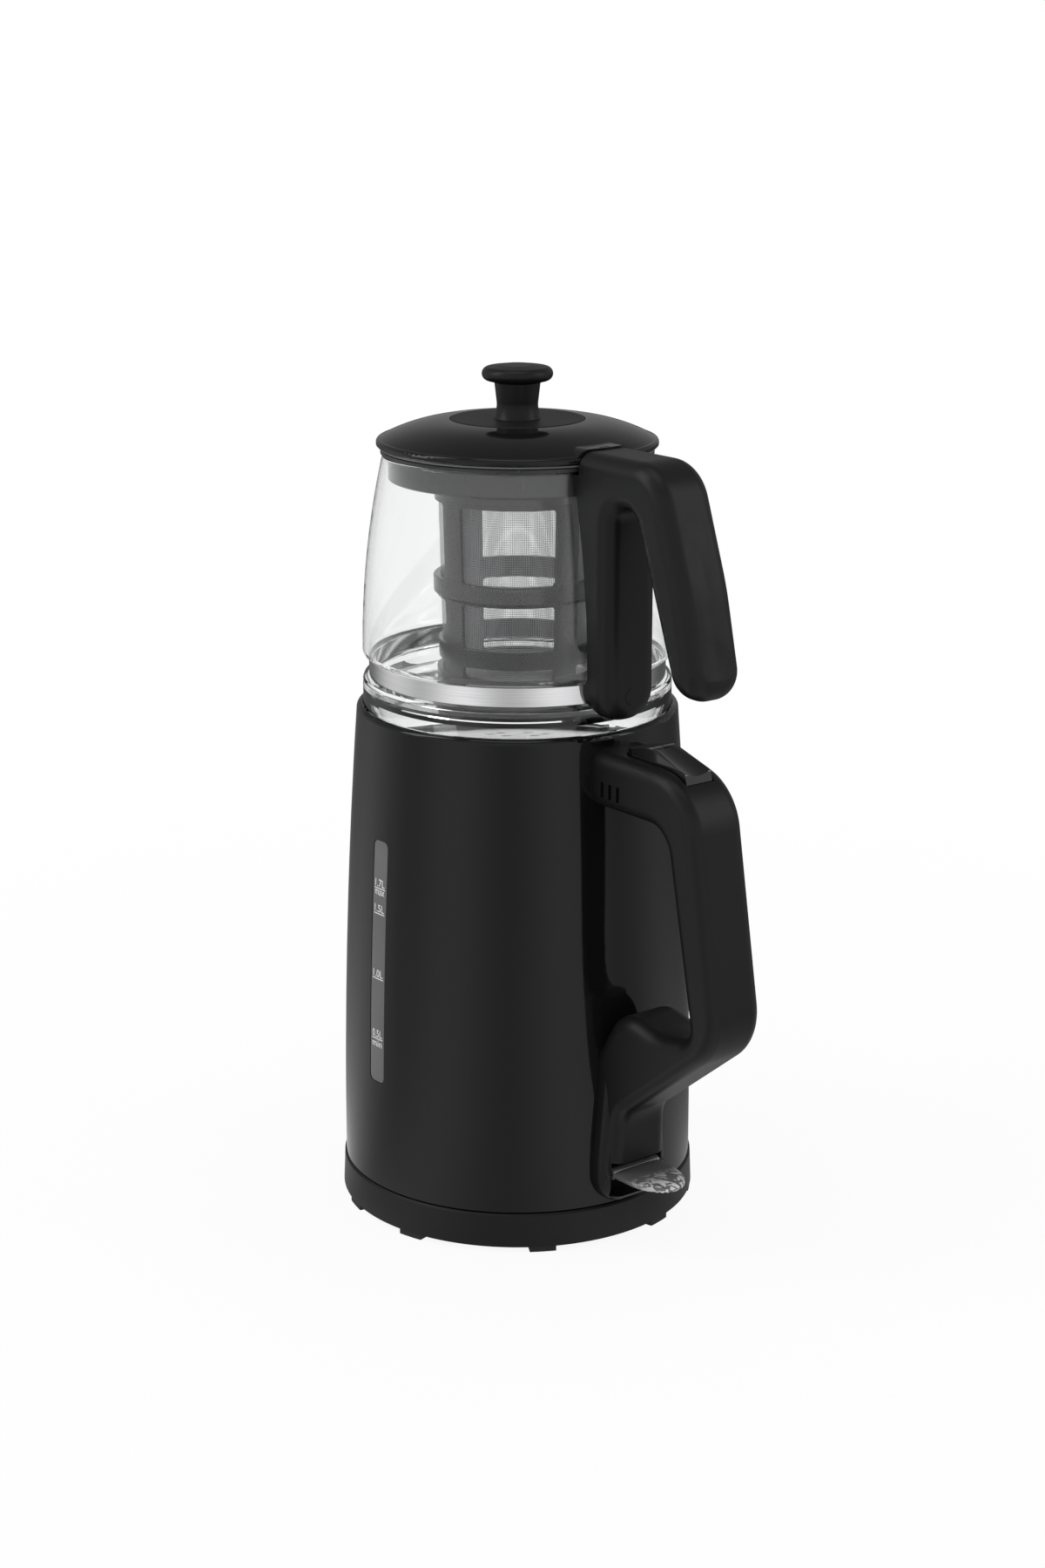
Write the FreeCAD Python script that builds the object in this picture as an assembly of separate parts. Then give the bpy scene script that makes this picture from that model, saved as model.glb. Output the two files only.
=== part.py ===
"""Electric tea maker: a kettle on a round power base with a glass teapot seated in the kettle's mouth.

Millimetres, +Z up. The origin is on the kettle's axis, on the surface that the feet stand on.
+X points towards the two handles and -Y towards the level window.
"""
import FreeCAD, Part
import math
import os

V = FreeCAD.Vector
AXIS_Z = V(0, 0, 1)
ORIGIN = V(0, 0, 0)

# ---------------------------------------------------------------- driving dimensions
fit_gap = 0.3            # between faces that rest on each other across a joint
pin_gap = 0.05           # radial, a pin in a hinge bore
slide_gap = 0.5          # radial, a loose piece in its opening
hug_gap = 0.05           # between a curved piece and the curved face that it wraps

# power base
foot_height = 2.5
foot_width = 11.7
foot_depth = 7.0
foot_sector_angle = 44.7
feet_turn = -29.4
base_radius = 80.0
base_draft = 0.6         # how much narrower the ring is at its top
base_ring_height = 15.1
base_wall = 2.2
deck_drop = 3.2
hub_radius = 14.0
hub_height = 12.0
hub_flange_radius = 22.0
hub_flange_thickness = 1.5
hub_groove_inner = 8.4
hub_groove_outer = 10.6
hub_socket_radius = 4.6
hub_socket_depth = 5.0
screw_circle = 45.0
base_screw_radius = 1.5
base_screw_head = 3.0
base_boss_radius = 4.5
gland_flange_radius = 5.2
gland_neck_radius = 3.6
gland_bore_radius = 2.6
gland_length = 10.0

# kettle body
body_gap = 0.8
body_height = 210.0
body_inset = 1.3         # from the base's outside to the body's foot
body_mid_draft = 2.0     # from the body's foot to its middle
body_top_draft = 8.0     # from the body's foot to its rim
body_wall = 1.2
rim_lip_inset = 2.3      # from the body's rim to the lip's bore
rim_round = 2.2
collar_depth = 13.0
collar_plate = 5.0
mouth_inset = 18.7       # from the body's rim to the mouth
heater_height = 40.0
heater_thickness = 2.0
element_radius = 52.0
element_rod = 3.5
cover_thickness = 2.5
cover_foot_radius = 58.5
control_radius = 33.0
cover_screw_circle = 29.0
cover_screw_radius = 1.5
cover_screw_head = 2.7
cover_foot_half = 3.0
bimetal_radius = 12.0

# level window
window_low = 67.0
window_high = 177.0
window_width = 10.4
window_flange = 3.0
window_thickness = 2.0
gasket_thickness = 0.6

# kettle handle
handle_half_width = 14.5
handle_drop = 5.6        # from the body's rim to the handle's top
handle_top_out = 52.3    # reaches are from the body's foot radius
handle_low_out = 71.7
handle_low_height = 111.0
handle_thickness = 21.0
arm_height = 24.5
arm_fall = 1.0
block_half_width = 18.0
block_out = 9.5
block_lift = 3.2         # above the base's top
root_depth = 23.7        # how far the mouldings run inside the wall before they are trimmed
pad_out = 5.9
pad_top = 88.0
pad_waist_height = 40.0
pad_round = 4.0
pad_neck_round = 6.0
pad_side_round = 30.0
pad_foot_round = 11.0
scoop_out = 10.8
scoop_fall = 48.0        # below the grip's lowest corner
crest_out = 9.3
crest_rise = 1.0
floor_out = 33.3
floor_drop = 5.0
heel_inset = 4.7
heel_fall = 22.0
handle_round = 6.0
handle_top_round = 27.0
handle_low_round = 26.0
scoop_round = 12.0
block_round = 7.5
heel_round = 12.0
crest_round = 16.0
floor_round = 30.0
opening_low_round = 7.5
opening_top_round = 13.0
parting_drop = 10.9
parting_inset = 12.3
parting_low_out = 62.3
parting_low_rise = 1.3
parting_foot_out = 2.9
parting_foot_rise = 3.4
parting_top_round = 17.0
parting_low_round = 22.0
stud_radius = 1.8
stud_root = 2.0
upper_stud_drop = 18.3   # below the handle's top
upper_stud_length = 12.0
lower_stud_rise = 29.2   # above the block's bottom
lower_stud_length = 6.5
vent_inset = 1.7
vent_lift = 5.4          # above the arm's underside
vent_count = 3
vent_pitch = 5.1
vent_width = 1.9
vent_height = 6.6
vent_depth = 1.6

# lid-release button
button_start_out = 1.8
button_end_out = 43.8
button_half_width = 6.9
button_gap = 0.6
button_recess_depth = 12.0
button_crown_out = 19.8
button_crown = 5.6
button_pivot_out = 15.3
button_pin_radius = 1.2
pin_seat = 3.0           # how deep the pivot pin sits in each side
button_lug = 2.6
spring_strip = 0.5
dish_radius = 19.0
dish_depth = 0.9
button_sink = 6.4
button_pivot_drop = 5.4

# switch lever
lever_pivot_out = 4.7
lever_pivot_rise = 13.6  # above the block's bottom
lever_out = 35.7
lever_half_width = 13.0
lever_thickness = 3.2
lever_edge_round = 1.2
lever_hub_radius = 2.6
lever_pin_seat = 2.0
lever_pin_radius = 1.2
slot_side_gap = 1.0
slot_below = 9.9         # below and above the lever's pivot
slot_above = 6.1

# kettle lid
kettle_lid_thickness = 3.6
kettle_lid_sink = 1.2
lid_hinge_outset = 5.0   # from the mouth to the hinge's axis
lid_hinge_drop = 3.0
lid_knuckle_radius = 3.4
lid_pin_radius = 1.5
lid_hinge_half_width = 12.5
lid_ear = 4.0
lid_chord_inset = 6.0    # from the mouth to the flat beside the hinge
steam_hole_radius = 2.2
steam_hole_circle = 12.0
steam_hole_count = 6

# teapot glass
glass_wall = 2.4
glass_seat_gap = 0.55    # radial, the glass ring in the kettle's lip
glass_ring_rise = 13.1   # heights are above the glass's foot
waist_depth = 3.25
waist_low_rise = 14.3
waist_high_rise = 22.3
bulge_depth = 0.05
bulge_rise = 25.5
glass_mid_depth = 2.15
glass_mid_rise = 64.9
glass_rim_depth = 9.55
glass_rim_rise = 111.1
glass_foot_inset = 5.5
glass_floor_lift = 4.6
band_thickness = 0.5
band_nut_half = 3.2
band_nut_depth = 3.0
band_screw_radius = 1.4
band_screw_head = 2.6
band_screw_head_depth = 1.8

# teapot handle
pot_handle_half_width = 14.2
pot_handle_rise = 8.8    # above the glass's rim
pot_handle_out = 39.65   # reaches are from the glass's ring
pot_handle_top_round = 20.0
pot_back_bow = 3.5
pot_back_round = 130.0
pot_tip_out = 67.15
pot_tip_rise = 26.3      # heights are above the glass's foot
pot_tip_thickness = 15.4
pot_tip_side_round = 12.0
pot_column_out = 10.95
pot_column_rise = 7.3
pot_column_round = 13.0
pot_arch_width = 14.2
pot_arch_drop = 12.4     # below the glass's rim
pot_arch_round = 7.0
pot_parting_drop = 13.5
pot_parting_round = 13.0
pot_handle_round = 7.0
pot_root_depth = 20.0
pot_shell_depth = 5.6
screw_cap_radius = 3.6
screw_cap_thickness = 2.0
screw_cap_crown = 0.3

# infuser
collar_gap = 0.4         # radial, the collar in the glass's rim
infuser_collar_height = 16.2
cage_wall = 1.6
cage_top_radius = 34.9
cage_top_drop = 6.0      # below the collar
cage_draft = 2.3
cage_bottom_rise = 19.5  # heights are above the glass's foot
cage_ring_overhang = 1.7
cage_ring_low_rise = 50.2
cage_ring_high_rise = 59.6
cage_ring_bevel = 1.6
cage_shoulder_step = 2.4
cage_foot_bead = 1.4
cage_foot_height = 5.0
cage_floor_rim = 6.0
cage_windows = 4
cage_window_angle = 73.0
cage_margin = 3.2
mesh_thickness = 0.4
flange_thickness = 1.7
flange_overhang = 0.7

# teapot lid
pot_lid_overhang = 2.5   # past the glass's rim
lid_seal_thickness = 0.8
pot_lid_edge = 3.4
pot_lid_wall = 2.2
pot_lid_crown_inset = 13.8
pot_lid_crown = 5.0
pot_lid_disc_radius = 28.9
pot_lid_disc_rise = 8.3  # above the lid's edge
pot_lid_disc_thickness = 2.2
skirt_depth = 4.5
lid_side_gap = 0.7       # radial, to the teapot handle's head
tab_length = 14.8
tab_flare = 1.2          # past each side of the handle's head
tab_step = 0.8           # above the handle's head
tab_round = 7.5
tab_vent_inset = 2.0
tab_vent_half = 2.6
tab_vent_width = 1.1
knob_neck_radius = 8.9
knob_foot_radius = 10.2
knob_cap_radius = 15.2
knob_height = 22.6
knob_cap_height = 7.4
knob_screw_radius = 2.0

# ---------------------------------------------------------------- derived radii and reaches
base_top_radius = base_radius - base_draft
body_bottom_radius = base_radius - body_inset
body_mid_radius = body_bottom_radius - body_mid_draft
body_top_radius = body_bottom_radius - body_top_draft
rim_lip_radius = body_top_radius - rim_lip_inset
mouth_radius = body_top_radius - mouth_inset
lid_radius = mouth_radius - slide_gap
lid_hinge_x = mouth_radius + lid_hinge_outset
lid_chord_x = mouth_radius - lid_chord_inset

handle_root = body_bottom_radius - root_depth
handle_top_reach = body_bottom_radius + handle_top_out
handle_low_reach = body_bottom_radius + handle_low_out
block_reach = body_bottom_radius + block_out
pad_reach = body_bottom_radius + pad_out
button_inner = body_bottom_radius + button_start_out
button_outer = body_bottom_radius + button_end_out
button_crown_reach = body_bottom_radius + button_crown_out
button_pivot_x = body_bottom_radius + button_pivot_out
lever_pivot_x = body_bottom_radius + lever_pivot_out
lever_reach = body_bottom_radius + lever_out

glass_ring_radius = rim_lip_radius - glass_seat_gap
glass_waist_radius = glass_ring_radius - waist_depth
glass_bulge_radius = glass_ring_radius - bulge_depth
glass_mid_radius = glass_ring_radius - glass_mid_depth
glass_rim_radius = glass_ring_radius - glass_rim_depth
glass_foot_radius = glass_ring_radius - glass_foot_inset
pot_root = glass_ring_radius - pot_root_depth
pot_handle_reach = glass_ring_radius + pot_handle_out
pot_tip_reach = glass_ring_radius + pot_tip_out
pot_column_reach = glass_ring_radius + pot_column_out

collar_radius = glass_rim_radius - glass_wall - collar_gap
flange_radius = glass_rim_radius + flange_overhang
cage_bottom_radius = cage_top_radius - cage_draft
cage_ring_radius = cage_top_radius + cage_ring_overhang
pot_lid_radius = glass_rim_radius + pot_lid_overhang
skirt_outer = collar_radius - cage_wall - slide_gap

# ---------------------------------------------------------------- derived levels
base_top = foot_height + base_ring_height
deck_level = base_top - deck_drop
body_bottom = base_top + body_gap
body_top = body_bottom + body_height
body_middle = (body_bottom + body_top) / 2
collar_top = body_top - rim_round + 0.6
collar_bottom_level = collar_top - collar_depth
kettle_lid_top = collar_top - kettle_lid_sink
kettle_lid_bottom = kettle_lid_top - kettle_lid_thickness
lid_hinge_z = collar_top - lid_hinge_drop

handle_top = body_top - handle_drop
arm_bottom = handle_top - arm_height
block_bottom = base_top + block_lift
crest_height = handle_low_height + crest_rise
heel_height = crest_height - heel_fall
scoop_height = handle_low_height - scoop_fall
button_pivot_z = handle_top - button_pivot_drop
lever_pivot_z = block_bottom + lever_pivot_rise
upper_stud_height = handle_top - upper_stud_drop
lower_stud_height = block_bottom + lower_stud_rise

glass_bottom = collar_top + fit_gap
glass_floor = glass_bottom + glass_floor_lift
glass_ring_top = glass_bottom + glass_ring_rise
glass_waist_low = glass_bottom + waist_low_rise
glass_waist_high = glass_bottom + waist_high_rise
glass_bulge_height = glass_bottom + bulge_rise
glass_mid_height = glass_bottom + glass_mid_rise
glass_rim_height = glass_bottom + glass_rim_rise
band_screw_height = (glass_waist_low + glass_waist_high) / 2
pot_handle_top = glass_rim_height + pot_handle_rise
pot_tip_bottom = glass_bottom + pot_tip_rise
pot_column_bottom = glass_bottom + pot_column_rise
pot_arch_height = glass_rim_height - pot_arch_drop

flange_low = glass_rim_height + fit_gap
flange_top = flange_low + flange_thickness
collar_bottom = glass_rim_height - infuser_collar_height
cage_top_height = collar_bottom - cage_top_drop
cage_bottom = glass_bottom + cage_bottom_rise
cage_ring_low = glass_bottom + cage_ring_low_rise
cage_ring_high = glass_bottom + cage_ring_high_rise
pot_lid_bottom = flange_top + fit_gap + lid_seal_thickness
pot_lid_edge_top = pot_lid_bottom + pot_lid_edge
pot_lid_disc_height = pot_lid_edge_top + pot_lid_disc_rise
knob_top = pot_lid_disc_height + knob_height


# ---------------------------------------------------------------- shape helpers
def cylinder(radius, low, high, x=0.0, y=0.0):
    """Upright cylinder between two heights."""
    return Part.makeCylinder(radius, high - low, V(x, y, low), AXIS_Z)


def ring(inner, outer, low, high):
    """Upright ring between two heights."""
    return cylinder(outer, low, high).cut(cylinder(inner, low - 1, high + 1))


def cross_pin(radius, half_length, x, z):
    """Cylinder along Y, centred on the handle plane."""
    return Part.makeCylinder(radius, 2 * half_length, V(x, -half_length, z), V(0, 1, 0))


def rear_cylinder(radius, start, end, z):
    """Cylinder along Y at the back of the kettle, between two distances from its axis."""
    return Part.makeCylinder(radius, end - start, V(0, start, z), V(0, 1, 0))


def radial_cylinder(radius, start, end, z):
    """Cylinder along X in the handle plane, between two distances from the axis."""
    return Part.makeCylinder(radius, end - start, V(start, 0, z), V(1, 0, 0))


def block(x0, x1, y0, y1, z0, z1):
    """Box between two corners."""
    return Part.makeBox(x1 - x0, y1 - y0, z1 - z0, V(x0, y0, z0))


def turned(shape, degrees):
    """Copy of a shape turned about the kettle's axis."""
    copy = shape.copy()
    copy.rotate(ORIGIN, AXIS_Z, degrees)
    return copy


def revolve(edges):
    """Solid of revolution about the kettle's axis from edges in the XZ plane."""
    wire = Part.Wire(Part.__sortEdges__(edges))
    return Part.Face(wire).revolve(ORIGIN, AXIS_Z, 360)


def outline_edges(points):
    """Straight edges through (radius, height) points, closed."""
    corners = [V(r, 0, z) for r, z in points]
    return [Part.LineSegment(a, b).toShape() for a, b in zip(corners, corners[1:] + corners[:1])]


def turned_outline(points):
    """Solid of revolution of a closed outline of (radius, height) points."""
    return revolve(outline_edges(points))


def arc_edge(start, middle, end):
    """Arc in the XZ plane through three (radius, height) points."""
    return Part.Arc(V(start[0], 0, start[1]), V(middle[0], 0, middle[1]), V(end[0], 0, end[1])).toShape()


def line_edges(*points):
    """Straight edges in the XZ plane through (radius, height) points."""
    corners = [V(r, 0, z) for r, z in points]
    pairs = [(a, b) for a, b in zip(corners, corners[1:]) if a.distanceToPoint(b) > 1e-6]
    return [Part.LineSegment(a, b).toShape() for a, b in pairs]


def rounded_wire(corners, place):
    """Closed wire through (u, v, radius) corners, each rounded with a tangent arc."""
    pieces = []
    joints = []
    count = len(corners)
    for i in range(count):
        before = V(*corners[i - 1][:2], 0)
        here = V(*corners[i][:2], 0)
        after = V(*corners[(i + 1) % count][:2], 0)
        to_before = (before - here).normalize()
        to_after = (after - here).normalize()
        half = to_before.getAngle(to_after) / 2
        radius = corners[i][2]
        if radius <= 0:
            joints.append((here, None, here))
            continue
        reach = radius / math.tan(half)
        centre = here + (to_before + to_after).normalize() * (radius / math.sin(half))
        middle = centre + (here - centre).normalize() * radius
        joints.append((here + to_before * reach, middle, here + to_after * reach))
    for i in range(count):
        start, middle, end = joints[i]
        if middle is not None:
            pieces.append(Part.Arc(place(start), place(middle), place(end)).toShape())
        following = joints[(i + 1) % count][0]
        if end.distanceToPoint(following) > 1e-6:
            pieces.append(Part.LineSegment(place(end), place(following)).toShape())
    return Part.Wire(pieces)


def side_prism(corners, half_width):
    """Outline in the handle plane (x, z), extruded to both sides of it."""
    wire = rounded_wire(corners, lambda p: V(p.x, -half_width, p.y))
    return Part.Face(wire).extrude(V(0, 2 * half_width, 0))


def front_prism(corners, low, high):
    """Outline seen from the handle's end (y, z), extruded along X."""
    wire = rounded_wire(corners, lambda p: V(low, p.x, p.y))
    return Part.Face(wire).extrude(V(high - low, 0, 0))


def face_normal(face, point):
    """Unit normal of a face at a point on it."""
    u, v = face.Surface.parameter(point)
    return face.normalAt(u, v)


def round_edges(solid, radius, keep):
    """Fillet the sharp edges whose middle point the keep test accepts."""
    chosen = []
    for edge in solid.Edges:
        middle = edge.valueAt((edge.FirstParameter + edge.LastParameter) / 2)
        if not keep(middle):
            continue
        sides = solid.ancestorsOfType(edge, Part.Face)
        if len(sides) == 2 and face_normal(sides[0], middle).dot(face_normal(sides[1], middle)) < 0.9:
            chosen.append(edge)
    return solid.makeFillet(radius, chosen)


def save(name, shape):
    """Write one sub-part as a STEP file."""
    shape = shape.removeSplitter()
    shape.exportStep("parts/" + name + ".step")


# ---------------------------------------------------------------- kettle body surfaces
def body_arc(offset):
    """Arc of the kettle's wall, moved inwards by an offset."""
    return arc_edge((body_bottom_radius - offset, body_bottom),
                    (body_mid_radius - offset, body_middle),
                    (body_top_radius - offset, body_top))


def body_solid(offset):
    """Everything inside the kettle's wall, moved inwards by an offset."""
    low = (body_bottom_radius - offset, body_bottom)
    high = (body_top_radius - offset, body_top)
    return revolve([body_arc(offset)] + line_edges(high, (0, body_top), (0, body_bottom), low))


def body_radius(height, offset=0.0):
    """Radius of the kettle's wall at a height."""
    level = Part.LineSegment(V(0, 0, height), V(base_radius, 0, height)).toShape()
    return level.distToShape(body_arc(offset))[1][0][1].x


def layer(outer_offset, inner_offset):
    """Thin skin between two offsets of the kettle's wall."""
    return body_solid(outer_offset).cut(body_solid(inner_offset))


# ---------------------------------------------------------------- power base
def build_base():
    """Housing ring, bottom plate, feet, screws, power hub, contacts and cord gland."""
    inner = base_radius - base_wall
    inner_top = base_top_radius - base_wall
    deck_bottom = deck_level - base_wall
    housing = turned_outline([
        (base_radius, foot_height), (base_top_radius, base_top - 0.8), (base_top_radius - 0.8, base_top),
        (inner_top, base_top), (inner_top, deck_level), (hub_radius - 1, deck_level),
        (hub_radius - 1, deck_bottom), (inner_top, deck_bottom), (inner, foot_height)])
    plate_top = foot_height + base_wall
    plate = cylinder(inner - slide_gap, foot_height, plate_top)
    head_top = plate_top - base_wall / 3
    shank_top = deck_bottom - base_screw_radius
    screws = []
    for i in range(3):
        turn = feet_turn + 120 * i
        boss = cylinder(base_boss_radius, plate_top, deck_bottom, screw_circle)
        shank = cylinder(base_screw_radius, foot_height - 1, shank_top, screw_circle)
        head_seat = cylinder(base_screw_head, foot_height - 1, head_top, screw_circle)
        housing = housing.fuse(turned(boss, turn)).cut(turned(shank, turn))
        plate = plate.cut(turned(shank.fuse(head_seat), turn))
        screw = cylinder(base_screw_head, foot_height + fit_gap, head_top, screw_circle)
        screw = screw.fuse(cylinder(base_screw_radius, head_top, shank_top, screw_circle))
        screws.append(turned(screw, turn))

    gland_z = (plate_top + deck_bottom) / 2
    gland_start = base_radius - gland_length
    wall_start = base_top_radius - base_wall + 0.1
    housing = housing.cut(rear_cylinder(gland_flange_radius, wall_start, base_radius + 1, gland_z))
    housing = housing.cut(rear_cylinder(gland_neck_radius, gland_start, base_radius, gland_z))
    gland = rear_cylinder(gland_flange_radius, wall_start, base_radius + 0.6, gland_z)
    gland = gland.fuse(rear_cylinder(gland_neck_radius, gland_start, wall_start, gland_z))
    gland = gland.cut(rear_cylinder(gland_bore_radius, gland_start - 1, base_radius + 2, gland_z))

    feet = []
    for sector in range(3):
        for offset in (-foot_sector_angle, 0, foot_sector_angle):
            half = foot_width / 2
            foot = block(base_radius - foot_depth, base_radius + 1, -half, half, 0, foot_height)
            foot = foot.common(cylinder(base_radius - 0.4, -1, foot_height + 1))
            feet.append(turned(foot, feet_turn + 120 * sector + offset))

    flange_level = deck_level + hub_flange_thickness
    hub_top = flange_level + hub_height
    socket_floor = hub_top - hub_socket_depth
    hub = turned_outline([
        (0, plate_top), (hub_radius - 1, plate_top), (hub_radius - 1, deck_level),
        (hub_flange_radius, deck_level), (hub_flange_radius, flange_level - 0.5),
        (hub_flange_radius - 0.5, flange_level), (hub_radius, flange_level),
        (hub_radius, hub_top - 1.5), (hub_radius - 1.5, hub_top), (hub_groove_outer, hub_top),
        (hub_groove_outer, socket_floor), (hub_groove_inner, socket_floor), (hub_groove_inner, hub_top),
        (hub_socket_radius, hub_top), (hub_socket_radius, socket_floor), (0, socket_floor)])
    contacts = [ring(hub_groove_inner, hub_groove_inner + 0.6, socket_floor, hub_top - 1),
                cylinder(hub_socket_radius / 3, socket_floor, hub_top - 0.5)]

    save("base_housing", housing)
    save("base_plate", plate)
    save("base_feet", Part.makeCompound(feet))
    save("base_screws", Part.makeCompound(screws))
    save("power_connector", hub)
    save("hub_contacts", Part.makeCompound(contacts))
    save("cord_gland", gland)
    return hub_top


# ---------------------------------------------------------------- kettle shell and heater
def window_prism(margin, low, high):
    """Upright slot outline on the front of the kettle, grown by a margin."""
    half = window_width / 2 + margin
    corner = half * 0.55
    corners = [(-half, low - margin, corner), (half, low - margin, corner),
               (half, high + margin, corner), (-half, high + margin, corner)]
    wire = rounded_wire(corners, lambda p: V(p.x, -base_radius - 5, p.y))
    return Part.Face(wire).extrude(V(0, 30, 0))


def build_kettle_shell():
    """Body, level window and gasket, heater plate and element."""
    outer_top = body_top - rim_round
    rim_radius = body_radius(outer_top)
    rim_inner = rim_radius - rim_round
    half_way = rim_round * math.sqrt(0.5)
    shoulder = arc_edge((rim_radius, outer_top), (rim_inner + half_way, outer_top + half_way),
                        (rim_inner, body_top))
    bore = collar_outer_radius()
    full = body_solid(0).cut(ring(rim_inner, base_radius, outer_top, body_top + 1))
    corner = line_edges((rim_inner, body_top), (rim_inner, outer_top), (rim_radius, outer_top))
    corner = revolve([shoulder] + corner)
    full = full.fuse(corner)
    hollow = body_solid(body_wall).common(cylinder(base_radius, body_bottom - 1, collar_bottom_level))
    hollow = hollow.fuse(cylinder(bore, collar_bottom_level, collar_top))
    hollow = hollow.fuse(cylinder(rim_lip_radius, collar_top, body_top + 1))
    hollow = hollow.fuse(cylinder(body_bottom_radius - body_wall, body_bottom - 1, body_bottom))
    shell = full.cut(hollow).cut(window_prism(0, window_low, window_high))

    flange_outer = body_wall + gasket_thickness
    glass_strip = layer(0.25, flange_outer + hug_gap)
    glass_strip = glass_strip.common(window_prism(-0.15, window_low, window_high))
    flange = layer(flange_outer, flange_outer + window_thickness)
    flange = flange.common(window_prism(window_flange, window_low, window_high))
    gasket = layer(body_wall + hug_gap, flange_outer)
    gasket = gasket.common(window_prism(window_flange, window_low, window_high))
    gasket = gasket.cut(window_prism(0, window_low, window_high))

    plate_radius = body_radius(heater_height, body_wall) - 0.15
    plate = cylinder(plate_radius, heater_height, heater_height + heater_thickness)
    element_z = heater_height - element_rod
    element = Part.makeTorus(element_radius, element_rod, V(0, 0, element_z), AXIS_Z, -180, 180, 300)
    element.rotate(ORIGIN, AXIS_Z, 30)
    ends = []
    for angle in (30, 330):
        end = Part.makeCylinder(1.4, 12, V(element_radius, 0, element_z), V(-1, 0, 0))
        ends.append(turned(end, angle))
    element = element.fuse(ends)

    save("kettle_body", shell)
    save("level_window", glass_strip.fuse(flange))
    save("window_gasket", gasket)
    save("heater_plate", plate)
    save("heating_element", element)


def collar_outer_radius():
    """Bore at the kettle's mouth that the collar fits in."""
    return body_radius(body_top - rim_round, body_wall) - 0.2


def build_underside(hub_top):
    """Underside cover, thermostat control with its socket, bimetal disc and cover screws."""
    cover_low = body_bottom + 0.8
    foot_ring = cover_foot_radius
    skirt_top = heater_height - 3
    cover_radius = body_radius(skirt_top, body_wall) - 0.2
    foot_low = deck_level + fit_gap
    neck_radius = hub_flange_radius + slide_gap + 2.0
    cover = turned_outline([
        (neck_radius, cover_low), (foot_ring - cover_foot_half, cover_low),
        (foot_ring - cover_foot_half + 1, foot_low), (foot_ring + cover_foot_half - 1, foot_low),
        (foot_ring + cover_foot_half, cover_low),
        (cover_radius, cover_low), (cover_radius, skirt_top), (cover_radius - 2, skirt_top),
        (cover_radius - 2, cover_low + cover_thickness), (neck_radius, cover_low + cover_thickness)])
    socket_radius = hub_radius + slide_gap + 0.1
    control_top = heater_height - 3
    control = turned_outline([
        (socket_radius, cover_low), (neck_radius, cover_low), (neck_radius, cover_low + cover_thickness),
        (control_radius, cover_low + cover_thickness), (control_radius, control_top), (0, control_top),
        (0, hub_top + 1.2), (socket_radius, hub_top + 1.2)])
    bimetal = cylinder(bimetal_radius, control_top, heater_height - 0.4)
    screws = []
    for i in range(3):
        turn = 60 + 120 * i
        head_top = cover_low + cover_thickness / 2
        shank = cylinder(cover_screw_radius, head_top, control_top - 4, cover_screw_circle)
        head = cylinder(cover_screw_head, cover_low + 0.2, head_top, cover_screw_circle)
        seat = cylinder(cover_screw_head, cover_low - 1, head_top, cover_screw_circle)
        cover = cover.cut(turned(shank.fuse(seat), turn))
        control = control.cut(turned(shank, turn))
        screws.append(turned(shank.fuse(head), turn))
    save("underside_cover", cover)
    save("thermostat_control", control)
    save("bimetal_disc", bimetal)
    save("cover_screws", Part.makeCompound(screws))


# ---------------------------------------------------------------- kettle mouth
def build_mouth():
    """Collar in the kettle's mouth, with the lid's hinge ears."""
    bore = collar_outer_radius()
    plate_low = collar_top - collar_plate
    collar = turned_outline([
        (mouth_radius, collar_top), (bore, collar_top), (bore, collar_bottom_level),
        (bore - 2, collar_bottom_level), (bore - 2, plate_low), (mouth_radius + 2, plate_low),
        (mouth_radius + 2, collar_bottom_level), (mouth_radius, collar_bottom_level)])
    ear_out = lid_hinge_half_width + slide_gap + lid_ear
    ears = block(lid_hinge_x - 5, lid_hinge_x + 5, -ear_out, ear_out, lid_hinge_z - 4, collar_top)
    reach = lid_hinge_x + lid_knuckle_radius + 1.2
    notch_half = lid_hinge_half_width + slide_gap
    notch = block(mouth_radius - 8, reach, -notch_half, notch_half, collar_bottom_level - 1, collar_top + 1)
    collar = collar.fuse(ears).cut(cylinder(mouth_radius, collar_bottom_level - 1, collar_top + 1)).cut(notch)
    collar = collar.cut(cross_pin(lid_pin_radius, ear_out + 1, lid_hinge_x, lid_hinge_z))
    save("mouth_collar", collar)
    save("lid_hinge_pin", cross_pin(lid_pin_radius, ear_out, lid_hinge_x, lid_hinge_z))


def beyond_chord(x):
    """Everything of the kettle's lid that lies past a chord on the hinge's side."""
    return block(x, lid_radius, -lid_radius, lid_radius, kettle_lid_bottom - 5, kettle_lid_top + 1)


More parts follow.
